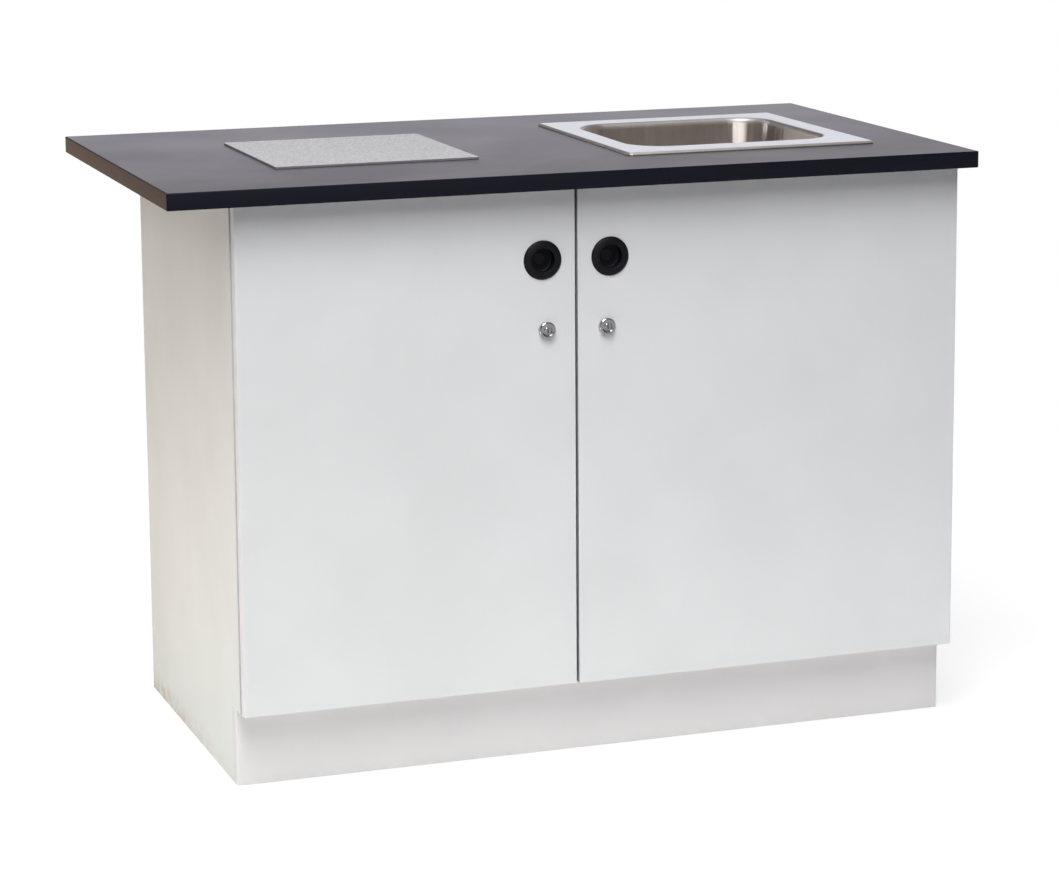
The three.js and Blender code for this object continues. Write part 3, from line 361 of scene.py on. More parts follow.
def mineral_board():
    """Pale mineral board: matt and granular, grey flecks and white grit in a warm grey binder."""
    material, tree, place = new_material("speckled_mat")
    fleck = add(tree, "TexVoronoi", {"Vector": place, "Scale": 1 / SPECK}, out="Color")
    shade = add(tree, "SeparateXYZ", {"Vector": fleck}, out="X")
    dark = add(tree, "MapRange", {"Value": shade, "From Min": 0.1, "From Max": 0.45})
    light = add(tree, "MapRange", {"Value": shade, "From Min": 0.6, "From Max": 0.95})
    flecked = add(tree, "Mix", {"Factor_Float": dark, "A_Color": linear("#86858A"),
                                "B_Color": linear("#A8A8AA")}, out="Result_Color", data_type="RGBA")
    gritty = add(tree, "Mix", {"Factor_Float": light, "A_Color": flecked,
                               "B_Color": linear("#CACAC9")}, out="Result_Color", data_type="RGBA")
    blotch = add(tree, "TexNoise", {"Vector": place, "Scale": 1 / MAT_BLOTCH, "Detail": 2.0})
    toned = add(tree, "Mix", {"Factor_Float": blotch, "A_Color": gritty, "B_Color": linear("#AEAEB0")},
                out="Result_Color", data_type="RGBA")
    # Painted shade: the side faces are painted dark grey.
    facing = add(tree, "NewGeometry", {}, out="Normal")
    upwards = add(tree, "SeparateXYZ", {"Vector": facing}, out="Z")
    sawn = add(tree, "MapRange", {"Value": upwards, "From Min": 0.25, "From Max": 0.75})
    colour = add(tree, "Mix", {"Factor_Float": sawn, "A_Color": linear("#7C7A7E"), "B_Color": toned},
                 out="Result_Color", data_type="RGBA")
    relief = add(tree, "Bump", {"Height": shade, "Strength": 0.25, "Distance": 0.1 * MM})
    shader = add(tree, "BsdfPrincipled", {"Base Color": colour, "Roughness": 0.85, "Normal": relief,
                                          "Specular IOR Level": 0.3})
    add(tree, "OutputMaterial", {"Surface": shader})
    return material


mat_low, mat_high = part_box("heat_mat")
mat_middle = ((mat_low.x + mat_high.x) / 2, (mat_low.y + mat_high.y) / 2, 0)
mat_half = (mat_high.x - mat_low.x) / 2
mat_in, mat_height = rounded([
    (MAT_EDGE, mat_low.z, 0),
    (0, mat_low.z, MAT_EDGE / 3),
    (0, mat_high.z, MAT_EDGE),
    (3 * MAT_EDGE, mat_high.z, 0),
]).T
mat = surface("mat", np.array(mat_middle) + rings(mat_half - mat_in, mat_half - mat_in,
                                                  MAT_CORNER - mat_in, mat_height), mineral_board())
stand_for(mat, "cabinet", "speckled_mat", "heat_mat")

# Sink: one 1.2 mm stainless sheet, drawn into a bowl with round corners and a wide flat rim that is
# turned down at its edge and polished satin. A black rubber seal lies under the rim, and four
# zinc-plated clips pull it down on the worktop.
SHEET = 1.2 * MM
RIM_SIDE = 40 * MM
RIM_FRONT = 60 * MM
RIM_REAR = 50 * MM
RIM_CORNER = 8 * MM
HEM = 3.6 * MM  # width of the outer edge, which slopes down from the rim
HEM_DROP = 2.4 * MM
HEM_SLANT = 0.3  # share of the sheet's thickness by which the lower skin's bend lies further in
SEAL_IN = 3.2 * MM
SEAL_WIDTH = 9 * MM
SEAL_GAP = 0.15 * MM
BOWL_CORNER = 55 * MM
BOWL_ROLL = 6 * MM
BOWL_DRAFT = 10 * MM
BOWL_FILLET = 30 * MM
BOWL_FALL = 4 * MM
WASTE_HOLE = 21 * MM
WASTE_SEAT = 42 * MM
LEAST_CORNER = 2 * MM
SHADING_MARGIN = 3 * MM  # rows close to a bend keep the flat beside it flat
POLISHING_LINE = 0.6 * MM
POLISHING_STREAK = 14 * MM
RUBBER_GRAIN = 1.5 * MM
CLIP_EDGE = 0.6 * MM


def stainless_steel():
    """Satin stainless steel: grey-white metal with shallow waves left by drawing. The rim is ground
    along X, its hem is duller, and the bowl's sides are brushed round so that lights smear upright.
    The hem and the bowl's sides are painted darker and browner than the rim: painted reflection of
    the dim room."""
    material, tree, place = new_material("stainless_steel")
    along = add(tree, "Mapping", {"Vector": place, "Scale": (0.02, 1.0, 1.0)})
    lines = add(tree, "TexNoise", {"Vector": along, "Scale": 1 / POLISHING_LINE, "Detail": 3.0})
    waves = add(tree, "TexNoise", {"Vector": place, "Scale": 1 / (45 * MM), "Detail": 1.0})
    flat = add(tree, "Mix", {"Factor_Float": waves, "A_Color": linear("#E6ECEF"),
                             "B_Color": linear("#EBF1F3")}, out="Result_Color", data_type="RGBA")
    upright = add(tree, "Mapping", {"Vector": place, "Scale": (1.0, 1.0, 0.04)})
    streaks = add(tree, "TexNoise", {"Vector": upright, "Scale": 1 / POLISHING_STREAK, "Detail": 1.0})
    streaked = add(tree, "MapRange", {"Value": streaks, "From Min": 0.3, "From Max": 0.7,
                                      "To Min": 0.0, "To Max": 0.07})
    even = add(tree, "MapRange", {"Value": lines, "To Min": 0.29, "To Max": 0.33})
    satin = add(tree, "Math", {"Value": even, "Value_001": streaked}, operation="ADD")
    facing = add(tree, "TexCoord", {}, out="Normal")
    upwards = add(tree, "SeparateXYZ", {"Vector": facing}, out="Z")
    level = add(tree, "MapRange", {"Value": upwards, "From Min": 0.1, "From Max": 0.4})
    height = add(tree, "SeparateXYZ", {"Vector": place}, out="Z")
    outside = add(tree, "MapRange", {"Value": height, "From Min": board_high.z - 6 * MM, "From Max": board_high.z})
    even_skin = add(tree, "Math", {"Value": level, "Value_001": outside}, operation="MAXIMUM")
    bent = add(tree, "MapRange", {"Value": upwards, "From Min": 0.8, "From Max": 0.98, "To Min": 1.0, "To Max": 0.0})
    hem = add(tree, "Math", {"Value": bent, "Value_001": outside}, operation="MULTIPLY")
    duller = add(tree, "MapRange", {"Value": hem, "To Min": 0.0, "To Max": 0.15})
    gloss = add(tree, "Math", {"Value": satin, "Value_001": duller}, operation="ADD")
    # Painted reflection: the bowl's sides take a darker, browner steel than the rim, streaked at random.
    drawn = add(tree, "Mix", {"Factor_Float": streaks, "A_Color": linear("#B6AEA9"),
                              "B_Color": linear("#D0CAC7")}, out="Result_Color", data_type="RGBA")
    polished = add(tree, "Mix", {"Factor_Float": outside, "A_Color": drawn, "B_Color": flat},
                   out="Result_Color", data_type="RGBA")
    # Painted reflection: the hem is painted darker.
    colour = add(tree, "Mix", {"Factor_Float": hem, "A_Color": polished, "B_Color": linear("#BAB5B2")},
                 out="Result_Color", data_type="RGBA")
    brushed = add(tree, "MapRange", {"Value": even_skin, "To Min": 0.88, "To Max": 0.2})
    bulging = add(tree, "MapRange", {"Value": even_skin, "To Min": 0.15, "To Max": 0.03})
    wavy = add(tree, "Bump", {"Height": waves, "Strength": bulging, "Distance": 2 * MM})
    upright_waves = add(tree, "MapRange", {"Value": even_skin, "To Min": 0.4, "To Max": 0.0})
    relief = add(tree, "Bump", {"Height": streaks, "Strength": upright_waves, "Distance": 3 * MM, "Normal": wavy})
    round_bowl = add(tree, "Tangent", {}, direction_type="RADIAL", axis="Z")
    shader = add(tree, "BsdfPrincipled", {"Base Color": colour, "Metallic": 1.0, "Roughness": gloss,
                                          "Anisotropic": brushed, "Anisotropic Rotation": 0.25,
                                          "Tangent": round_bowl, "Normal": relief})
    add(tree, "OutputMaterial", {"Surface": shader})
    return material


def rubber():
    """Black rubber: dull, a little dusty, with a soft moulded grain."""
    material, tree, place = new_material("black_rubber")
    grain = add(tree, "TexNoise", {"Vector": place, "Scale": 1 / RUBBER_GRAIN, "Detail": 3.0})
    colour = add(tree, "Mix", {"Factor_Float": grain, "A_Color": linear("#1A1A1B"),
                               "B_Color": linear("#262627")}, out="Result_Color", data_type="RGBA")
    dull = add(tree, "MapRange", {"Value": grain, "To Min": 0.75, "To Max": 0.95})
    relief = add(tree, "Bump", {"Height": grain, "Strength": 0.2, "Distance": 0.05 * MM})
    shader = add(tree, "BsdfPrincipled", {"Base Color": colour, "Roughness": dull, "Normal": relief})
    add(tree, "OutputMaterial", {"Surface": shader})
    return material


sink_low, sink_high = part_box("sink_bowl")
sink_x = (sink_low.x + sink_high.x) / 2
sink_y = (sink_low.y + sink_high.y) / 2
rim_half = np.array([sink_high.x - sink_low.x, sink_high.y - sink_low.y]) / 2
bowl_half = rim_half - np.array([RIM_SIDE, (RIM_FRONT + RIM_REAR) / 2])
bowl_shift = (RIM_FRONT - RIM_REAR) / 2
rim_top = sink_high.z
bowl_floor = sink_low.z + SHEET


def bowl_rows(out, height):
    """Rounded rectangles that stand a distance outside the bowl's nominal outline."""
    corner = np.maximum(BOWL_CORNER + out, LEAST_CORNER)
    rows = rings(bowl_half[0] + out, bowl_half[1] + out, corner, height)
    return rows + np.array([0, bowl_shift, 0])


def rim_rows(out, height):
    """Rounded rectangles that stand a distance outside the rim's edge."""
    return rings(rim_half[0] + out, rim_half[1] + out, np.maximum(RIM_CORNER + out, LEAST_CORNER), height)


def sink_skin(depth):
    """One skin of the sheet, a depth below the polished one, from the waste hole to the lip: flat
    seat, floor fillet and top roll as quarter circles of rings, flat rim, and a hem that slopes
    down and turns to the worktop."""
    quarter = np.linspace(0, math.pi / 2, 13)
    floor = bowl_floor - depth
    seat = rings([WASTE_HOLE, WASTE_SEAT], [WASTE_HOLE, WASTE_SEAT], [WASTE_HOLE, WASTE_SEAT], floor)
    fillet_reach = BOWL_FILLET + depth
    fillet_middle = bowl_floor + BOWL_FALL + BOWL_FILLET
    fillet = bowl_rows(fillet_reach * np.sin(quarter) - BOWL_FILLET - BOWL_DRAFT,
                       fillet_middle - fillet_reach * np.cos(quarter))
    roll_reach = BOWL_ROLL - depth
    roll = bowl_rows(BOWL_ROLL - roll_reach * np.cos(quarter), rim_top - BOWL_ROLL + roll_reach * np.sin(quarter))
    share = SHADING_MARGIN / (roll[0, 0, 2] - fillet[-1, 0, 2])
    wall = fillet[-1] + (roll[0] - fillet[-1]) * np.array([share, 0.5, 1 - share])[:, None, None]
    rim = bowl_rows(BOWL_ROLL + SHADING_MARGIN, rim_top - depth)
    step_in = depth * HEM_SLANT
    edge = rounded([
        (-HEM - SHADING_MARGIN, rim_top - depth, 0),
        (-HEM - step_in, rim_top - depth, 0.5 * MM),
        (-depth, rim_top - HEM_DROP - step_in, 0.5 * MM),
        (-depth, board_high.z + 0.3 * MM, 0),
    ])
    shift = np.array([0, bowl_shift, 0])
    return np.concatenate([seat + shift, fillet, wall, roll, rim, rim_rows(*edge.T)])


sink_rows = np.concatenate([sink_skin(0), sink_skin(SHEET)[::-1]]) + np.array([sink_x, sink_y, 0])
sink = surface("sink", sink_rows, stainless_steel(), loop=True)
stand_for(sink, "cabinet", "stainless_steel", "sink_bowl")
black_rubber = rubber()
seal_top = rim_top - SHEET - SEAL_GAP
seal_section = rounded([
    (-SEAL_IN - SEAL_WIDTH, board_high.z, 0.3 * MM),
    (-SEAL_IN - SEAL_WIDTH, seal_top, 0.4 * MM),
    (-HEM - SHEET, seal_top, 0.3 * MM),
    (-SEAL_IN, seal_top - HEM_DROP / 2, 0.3 * MM),
    (-SEAL_IN, board_high.z, 0.3 * MM),
], closed=True)
seal = surface("seal", rim_rows(*seal_section.T) + np.array([sink_x, sink_y, 0]), black_rubber, loop=True)
stand_for(seal, "cabinet", "black_rubber", "sink_seal")
for corner in ("left_front", "left_rear", "right_front", "right_rear"):
    finish_node("sink_clip_" + corner, zinc, CLIP_EDGE)

# Sink waste: a chromed brass flange with a pierced grid, whose threaded tail goes down through the
# bowl's floor. A plastic nut draws it up from below against a rubber washer.
TAIL_RADIUS = 20 * MM
TAIL_WALL = 2.5 * MM
THREAD_PITCH = 2.3 * MM
THREAD_DEPTH = 0.9 * MM
THREAD_LENGTH = 72 * MM
GRID_DROP = 0.5 * MM
GRID_THICKNESS = 2 * MM
GRID_HOLE = 3.5 * MM
GRID_CIRCLE = 10.5 * MM
GRID_EDGE = 0.4 * MM
NUT_CHAMFER = 1.2 * MM
NUT_EDGE = 0.5 * MM
THIN_NUT = 0.15  # the most of a thin nut's height that each chamfer takes
SQUARE_END = 0.2 * MM
CHROME_SMEAR = 4 * MM
PLASTIC_GRAIN = 1.3 * MM


def chrome_plate():
    """Bright chrome over polished metal: a cool mirror with thin smears and water spots."""
    material, tree, place = new_material("chrome_plate")
    smear = add(tree, "TexNoise", {"Vector": place, "Scale": 1 / CHROME_SMEAR, "Detail": 4.0})
    colour = add(tree, "Mix", {"Factor_Float": smear, "A_Color": linear("#AAA9AB"),
                               "B_Color": linear("#C0BFC1")}, out="Result_Color", data_type="RGBA")
    gloss = add(tree, "MapRange", {"Value": smear, "From Min": 0.35, "From Max": 0.7,
                                   "To Min": 0.07, "To Max": 0.2})
    relief = add(tree, "Bump", {"Height": smear, "Strength": 0.05, "Distance": 0.05 * MM})
    shader = add(tree, "BsdfPrincipled", {"Base Color": colour, "Metallic": 1.0, "Roughness": gloss,
                                          "Normal": relief})
    add(tree, "OutputMaterial", {"Surface": shader})
    return material


def moulded_plastic(name, resin, worn, gloss):
    """Moulded plastic: one even colour with a fine spark-eroded grain, paler where it is handled."""
    material, tree, place = new_material(name)
    grain = add(tree, "TexNoise", {"Vector": place, "Scale": 1 / PLASTIC_GRAIN, "Detail": 2.0})
    handled = add(tree, "TexNoise", {"Vector": place, "Scale": 1 / (14 * MM), "Detail": 3.0})
    tone = add(tree, "MapRange", {"Value": handled, "From Min": 0.4, "From Max": 0.75})
    colour = add(tree, "Mix", {"Factor_Float": tone, "A_Color": linear(resin), "B_Color": linear(worn)},
                 out="Result_Color", data_type="RGBA")
    satin = add(tree, "MapRange", {"Value": grain, "To Min": gloss, "To Max": gloss + 0.14})
    relief = add(tree, "Bump", {"Height": grain, "Strength": 0.15, "Distance": 0.04 * MM})
    shader = add(tree, "BsdfPrincipled", {"Base Color": colour, "Roughness": satin, "Normal": relief,
                                          "Specular IOR Level": 0.2})
    add(tree, "OutputMaterial", {"Surface": shader})
    return material


def nut(name, flats, bore, low, high, centre, axes, material):
    """Six flats round a bore: half the width across flats over cos(angle from the nearest flat's
    middle), cut at both ends by a cone that just touches the flats."""
    side = flats / 2 / np.cos((ANGLE + math.pi / 6) % (math.pi / 3) - math.pi / 6)
    chamfer = min(NUT_CHAMFER, THIN_NUT * (high - low))
    end = np.minimum(side, flats / 2 + chamfer / 2)
    hole = np.full_like(side, bore)
    radius = np.stack([hole, end, side, side, end, hole])
    height = np.array([low, low, low + chamfer, high - chamfer, high, high])[:, None]
    piece = surface(name, spun(radius, height, centre, axes), material, loop=True)
    soften(piece, NUT_EDGE * chamfer / NUT_CHAMFER)
    return piece


def soften(piece, edge):
    """Rounds the sharp edges of a new piece."""
    rounding = piece.modifiers.new("edges", "BEVEL")
    rounding.width = edge
    rounding.segments = 2
    rounding.limit_method = "ANGLE"
    rounding.angle_limit = math.radians(30)


flange_low, flange_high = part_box("waste_flange")
waste_place = (sink_x, sink_y + bowl_shift, 0)
flange_radius = (flange_high.x - flange_low.x) / 2
flange_top = flange_high.z
tail_bore = TAIL_RADIUS - TAIL_WALL
grid_top = bowl_floor - GRID_DROP
chrome = chrome_plate()
flange_outline = rounded([
    (tail_bore, grid_top - GRID_THICKNESS, SQUARE_END),
    (TAIL_RADIUS, grid_top - GRID_THICKNESS, SQUARE_END),
    (TAIL_RADIUS, bowl_floor, SQUARE_END),
    (flange_radius, bowl_floor, SQUARE_END),
    (flange_radius - 0.6 * MM, bowl_floor + 1.3 * MM, 0.5 * MM),
    (flange_radius - 4 * MM, flange_top, 2 * MM),
    (TAIL_RADIUS + 1 * MM, flange_top, 1.2 * MM),
    (tail_bore, grid_top, 1 * MM),
], closed=True)
flange = surface("waste_rim", turned(flange_outline, waste_place, UP), chrome, loop=True)
stand_for(flange, "cabinet", "chrome_plate", "waste_flange")

circle = np.stack([np.cos(ANGLE), np.sin(ANGLE)], axis=-1)
spokes = np.arange(6) * math.pi / 3
hole_middles = np.concatenate([[[0, 0]], GRID_CIRCLE * np.stack([np.cos(spokes), np.sin(spokes)], axis=-1)])
outlines = np.concatenate([[tail_bore * circle], hole_middles[:, None] + GRID_HOLE * circle])
outline_points = np.arange(outlines[..., 0].size).reshape(outlines.shape[:2])
flat_points, _, flat_faces, _, _, _ = geometry.delaunay_2d_cdt(
    [Vector(point) for point in outlines.reshape(-1, 2)], [], outline_points.tolist(), 2, 1e-9)
grid_mesh = bpy.data.meshes.new("waste_grid")
grid_points = np.array([(point.x, point.y, grid_top) for point in flat_points]) + np.array(waste_place)
grid_mesh.from_pydata(grid_points.tolist(), [], flat_faces)
grid_mesh.materials.append(chrome)
grid = bpy.data.objects.new("waste_grid", grid_mesh)
scene.collection.objects.link(grid)
wall = grid.modifiers.new("wall", "SOLIDIFY")
wall.thickness = GRID_THICKNESS
wall.offset = -1
soften(grid, GRID_EDGE)
stand_for(grid, "cabinet", "chrome_plate")

thread_start = grid_top - THREAD_LENGTH
thread_height = np.arange(thread_start, grid_top - GRID_THICKNESS, THREAD_PITCH / 6)
turn = thread_height[:, None] / THREAD_PITCH - ANGLE / (2 * math.pi)
groove = np.abs(2 * (turn % 1) - 1)
plain_end = np.full((1, ANGLE.size), TAIL_RADIUS)
inside = np.full((2, ANGLE.size), tail_bore)
tail_rows = np.concatenate([plain_end, TAIL_RADIUS - THREAD_DEPTH * groove, inside])
tail_height = np.concatenate([[flange_low.z], thread_height, [thread_height[-1], flange_low.z]])[:, None]
tail = surface("waste_tail", spun(tail_rows, tail_height, waste_place, UP), chrome, loop=True)
stand_for(tail, "cabinet", "chrome_plate")

low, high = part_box("waste_washer")
washer_outline = rounded([
    (TAIL_RADIUS + 0.3 * MM, low.z, SQUARE_END),
    ((high.x - low.x) / 2, low.z, 0.8 * MM),
    ((high.x - low.x) / 2, high.z, 0.8 * MM),
    (TAIL_RADIUS + 0.3 * MM, high.z, SQUARE_END),
], closed=True)
washer = surface("washer", turned(washer_outline, waste_place, UP), black_rubber, loop=True)
stand_for(washer, "cabinet", "black_rubber", "waste_washer")
white_plastic = moulded_plastic("white_plastic", "#E4E4E0", "#EDEDEA", gloss=0.32)
low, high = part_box("waste_nut")
back_nut = nut("back_nut", 60 * MM, TAIL_RADIUS + 0.3 * MM, low.z, high.z, waste_place, UP, white_plastic)
stand_for(back_nut, "cabinet", "white_plastic", "waste_nut")

# Bottle trap: moulded white polypropylene. The tail dips into the bottle, the cup below screws off
# for cleaning, and a pipe leaves through the back panel, sealed by a nut.
BOTTLE_RADIUS = 38 * MM
BOTTLE_NECK = 25.3 * MM
NECK_HEIGHT = 12 * MM
SHOULDER = 3 * MM
OUTLET_REACH = 70 * MM
OUTLET_RADIUS = 19.3 * MM
OUTLET_ROOT = 5 * MM
COLLAR_FALL = 3.7 * MM
COLLAR_ABOVE = 15 * MM
FLUTES = 24
FLUTE_DEPTH = 1.1 * MM
PIPE_BORE = 13.5 * MM

bottle_low, bottle_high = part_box("trap_body")
bottle_outline = rounded([
    (BOTTLE_RADIUS - 2 * MM, bottle_low.z, 0),
    (BOTTLE_RADIUS, bottle_low.z, 1 * MM),
    (BOTTLE_RADIUS, bottle_high.z - NECK_HEIGHT - SHOULDER, 3 * MM),
    (BOTTLE_NECK, bottle_high.z - NECK_HEIGHT, 2 * MM),
    (BOTTLE_NECK, bottle_high.z, 0.6 * MM),
    (TAIL_RADIUS, bottle_high.z, SQUARE_END),
    (TAIL_RADIUS, bottle_low.z + SHOULDER, 0),
])
bottle = surface("trap_bottle", turned(bottle_outline, waste_place, UP), white_plastic)
stand_for(bottle, "cabinet", "white_plastic", "trap_body")

# The outlet's root follows the bottle, y = sqrt(R^2 - x^2), and flares into it on a quarter circle.
pipe_low, pipe_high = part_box("waste_pipe")
outlet_height = (pipe_low.z + pipe_high.z) / 2
outlet_place = (waste_place[0], waste_place[1], outlet_height)
flare = np.linspace(0, math.pi / 2, 7)[:, None]
root_radius = OUTLET_RADIUS + OUTLET_ROOT * (1 - np.sin(flare))
root_reach = np.sqrt(BOTTLE_RADIUS ** 2 - (root_radius * np.cos(ANGLE)) ** 2) + OUTLET_ROOT * (1 - np.cos(flare))
mouth = np.array([[OUTLET_RADIUS, OUTLET_REACH - 1 * MM], [OUTLET_RADIUS - 0.5 * MM, OUTLET_REACH],
                  [PIPE_BORE, OUTLET_REACH]])
outlet_radius = np.concatenate([root_radius, mouth[:, :1]]) + 0 * ANGLE
outlet_reach = np.concatenate([root_reach, mouth[:, 1:] + 0 * ANGLE])
outlet = surface("trap_outlet", spun(outlet_radius, outlet_reach, outlet_place, TO_THE_BACK), white_plastic)
stand_for(outlet, "cabinet", "white_plastic")

cup_low, cup_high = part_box("trap_cup")
collar_radius = (cup_high.x - cup_low.x) / 2
collar_base = cup_high.z - COLLAR_ABOVE - SHOULDER
cup_outline = rounded([
    (BOTTLE_RADIUS - 12 * MM, cup_low.z, 0),
    (BOTTLE_RADIUS, cup_low.z, 6 * MM),
    (BOTTLE_RADIUS, collar_base - COLLAR_FALL, 1.5 * MM),
    (collar_radius, collar_base, 1 * MM),
    (collar_radius, cup_high.z, 1.2 * MM),
    (BOTTLE_RADIUS, cup_high.z, 0),
])
gripped = np.clip((cup_outline[:, 0] - BOTTLE_RADIUS) / (collar_radius - BOTTLE_RADIUS), 0, 1)[:, None]
flutes = FLUTE_DEPTH * gripped * (0.5 + 0.5 * np.cos(FLUTES * ANGLE))
cup = surface("trap_bowl", spun(cup_outline[:, :1] - flutes, cup_outline[:, 1:], waste_place, UP), white_plastic)
stand_for(cup, "cabinet", "white_plastic", "trap_cup")

low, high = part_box("trap_inlet_nut")
inlet_nut = nut("inlet_nut", 56 * MM, TAIL_RADIUS + 0.3 * MM, low.z, high.z, waste_place, UP, white_plastic)
stand_for(inlet_nut, "cabinet", "white_plastic", "trap_inlet_nut")
low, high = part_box("trap_outlet_nut")
pipe_radius = (pipe_high.x - pipe_low.x) / 2
pipe_place = (waste_place[0], 0, outlet_height)
outlet_nut = nut("outlet_nut", 48 * MM, pipe_radius + 0.3 * MM, low.y, high.y, pipe_place, TO_THE_BACK, white_plastic)
stand_for(outlet_nut, "cabinet", "white_plastic", "trap_outlet_nut")
pipe_outline = rounded([
    (PIPE_BORE, pipe_low.y, SQUARE_END),
    (pipe_radius, pipe_low.y, 0.6 * MM),
    (pipe_radius, pipe_high.y, 0.6 * MM),
    (PIPE_BORE, pipe_high.y, SQUARE_END),
], closed=True)
pipe = surface("outlet_pipe", turned(pipe_outline, pipe_place, TO_THE_BACK), white_plastic, loop=True)
stand_for(pipe, "cabinet", "white_plastic", "waste_pipe")

# Concealed hinges: zinc-plated steel pressings, two on each door. A cup is pressed into the back of
# the door, an arm turns on its pin, and the arm's foot sits on a plate that is screwed to the side.
CUP_RADIUS = 17.2 * MM
CUP_WALL = 1 * MM
CUP_FLANGE = 1.2 * MM
SCREW_RADIUS = 3.8 * MM
SCREW_RISE = 1.6 * MM
SCREW_FROM_MIDDLE = 15 * MM
CROSS_REACH = 2.2 * MM
CROSS_WIDTH = 0.45 * MM
CROSS_DEPTH = 1.2 * MM
PRESSED_EDGE = 0.4 * MM


def screw(name, centre, axes):
    """A domed head, height = rise (1 - (r / R)^2), less a cross that is deep where one of the two
    distances from the middle is within its width and the other within its reach."""
    reach = np.linspace(1, 0.01, 22)[:, None]
    x, y = SCREW_RADIUS * reach * np.abs(np.cos(ANGLE)), SCREW_RADIUS * reach * np.abs(np.sin(ANGLE))

    def within(distance, limit):
        return np.clip((1.3 - distance / limit) / 0.6, 0, 1)

    cross = np.maximum(within(x, CROSS_WIDTH) * within(y, CROSS_REACH), within(y, CROSS_WIDTH) * within(x, CROSS_REACH))
    height = SCREW_RISE * (1 - reach ** 2) - CROSS_DEPTH * cross
    return surface(name, spun(SCREW_RADIUS * reach, height, centre, axes), zinc)


for hung, hand in (("left", 1), ("right", -1)):
    for level in ("lower", "upper"):
        hinge = f"{hung}_{level}"
        finish_node("hinge_plate_" + hinge, zinc, PRESSED_EDGE)
        finish_node("hinge_arm_" + hinge, zinc, PRESSED_EDGE)
        finish_node("hinge_pin_" + hinge, zinc, 0.2 * MM)
        low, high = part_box("hinge_cup_" + hinge)
        cup_middle = ((low.x + high.x) / 2, 0, (low.z + high.z) / 2)
        rim_radius = (high.x - low.x) / 2
        seat = high.y - CUP_FLANGE
        cup_outline = rounded([
            (6 * MM, low.y, 0),
            (CUP_RADIUS, low.y, 2 * MM),
            (CUP_RADIUS, seat, SQUARE_END),
            (rim_radius, seat, SQUARE_END),
            (rim_radius, high.y, 0.6 * MM),
            (CUP_RADIUS - CUP_WALL, high.y, 0.6 * MM),
            (CUP_RADIUS - CUP_WALL, low.y + CUP_WALL, 2 * MM),
            (6 * MM, low.y + CUP_WALL, 0),
        ])
        hinge_cup = surface("cup_" + hinge, turned(cup_outline, cup_middle, TO_THE_BACK), zinc)
        stand_for(hinge_cup, "door_" + hung, "zinc_plated_steel", "hinge_cup_" + hinge)

        low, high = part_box("hinge_plate_" + hinge)
        inwards = hand * TO_THE_RIGHT
        plate_face = high.x if hand > 0 else low.x
        for place, rise in (("top", SCREW_FROM_MIDDLE), ("bottom", -SCREW_FROM_MIDDLE)):
            spot = (plate_face, (low.y + high.y) / 2, cup_middle[2] + rise)
            stand_for(screw(f"plate_screw_{hinge}_{place}", spot, inwards), "cabinet", "zinc_plated_steel")
        arm_low, arm_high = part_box("hinge_arm_" + hinge)
        foot_face = plate_face + hand * 2.8 * MM
        spot = (foot_face, arm_high.y - 9 * MM, cup_middle[2])
        stand_for(screw(f"arm_screw_{hinge}", spot, inwards), "cabinet", "zinc_plated_steel")

# Doors: 18 mm chipboard with cool white melamine and a matching plastic edge, rounded to 1 mm. The
# edges where the doors meet are painted grey, a painted shade for the gap between them. Each door
# hangs on its two hinge cups.
DOOR_EDGE = 1 * MM
for hung, meeting in (("left", 1), ("right", -1)):
    # Painted shade: the meeting edge takes the grey strip colour.
    door_melamine = melamine(f"door_{hung}_melamine", "#E6E7E6", "#E2E3E2", scuffing=0.0,
                             shaded_facing=(meeting, 0, 0))
    finish_node("door_" + hung, door_melamine, DOOR_EDGE)

# Flush pulls: black moulded plastic, pushed into a round hole. A bevelled ring lies on the door, and
# fingers hook behind its lip in a cup that is wider inside than its mouth.
PULL_CUP = 20 * MM
PULL_WALL = 1.6 * MM
PULL_MOUTH = 17.2 * MM
PULL_EDGE = 1 * MM
PULL_SHOULDER = 2.8 * MM
PULL_SHOULDER_IN = 2 * MM
PULL_CROWN = 4 * MM
PULL_LIP = 0.8 * MM
black_plastic = moulded_plastic("black_plastic", "#0A0B12", "#0F1019", gloss=0.4)
for hung in ("left", "right"):
    low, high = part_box("pull_" + hung)
    door_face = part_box("door_" + hung)[0].y
    pull_middle = ((low.x + high.x) / 2, door_face, (low.z + high.z) / 2)
    pull_radius = (high.x - low.x) / 2
    pull_rise = door_face - low.y
    pull_sink = door_face - high.y
    pull_outline = rounded([
        (PULL_CUP - 4 * MM, pull_sink, 0),
        (PULL_CUP, pull_sink, 1 * MM),
        (PULL_CUP, 0, SQUARE_END),
        (pull_radius, 0, SQUARE_END),
        (pull_radius, PULL_EDGE, 0.5 * MM),
        (pull_radius - PULL_SHOULDER_IN, PULL_SHOULDER, 0.8 * MM),
        (PULL_MOUTH + PULL_CROWN, pull_rise, 1.5 * MM),
        (PULL_MOUTH, pull_rise, 1.2 * MM),
        (PULL_MOUTH, 0, 0.5 * MM),
        (PULL_CUP - PULL_WALL, -PULL_WALL, 0.5 * MM),
        (PULL_CUP - PULL_WALL, pull_sink + PULL_WALL, 2 * MM),
        (10 * MM, pull_sink + PULL_WALL, 0.4 * MM),
        (9.4 * MM, pull_sink + PULL_WALL + 0.6 * MM, 0.4 * MM),
        (2 * MM, pull_sink + PULL_WALL + 0.6 * MM, 0),
    ])
    pull = surface("flush_pull_" + hung, turned(pull_outline, pull_middle, OUT_OF_DOOR), black_plastic)
    stand_for(pull, "door_" + hung, "black_plastic", "pull_" + hung)

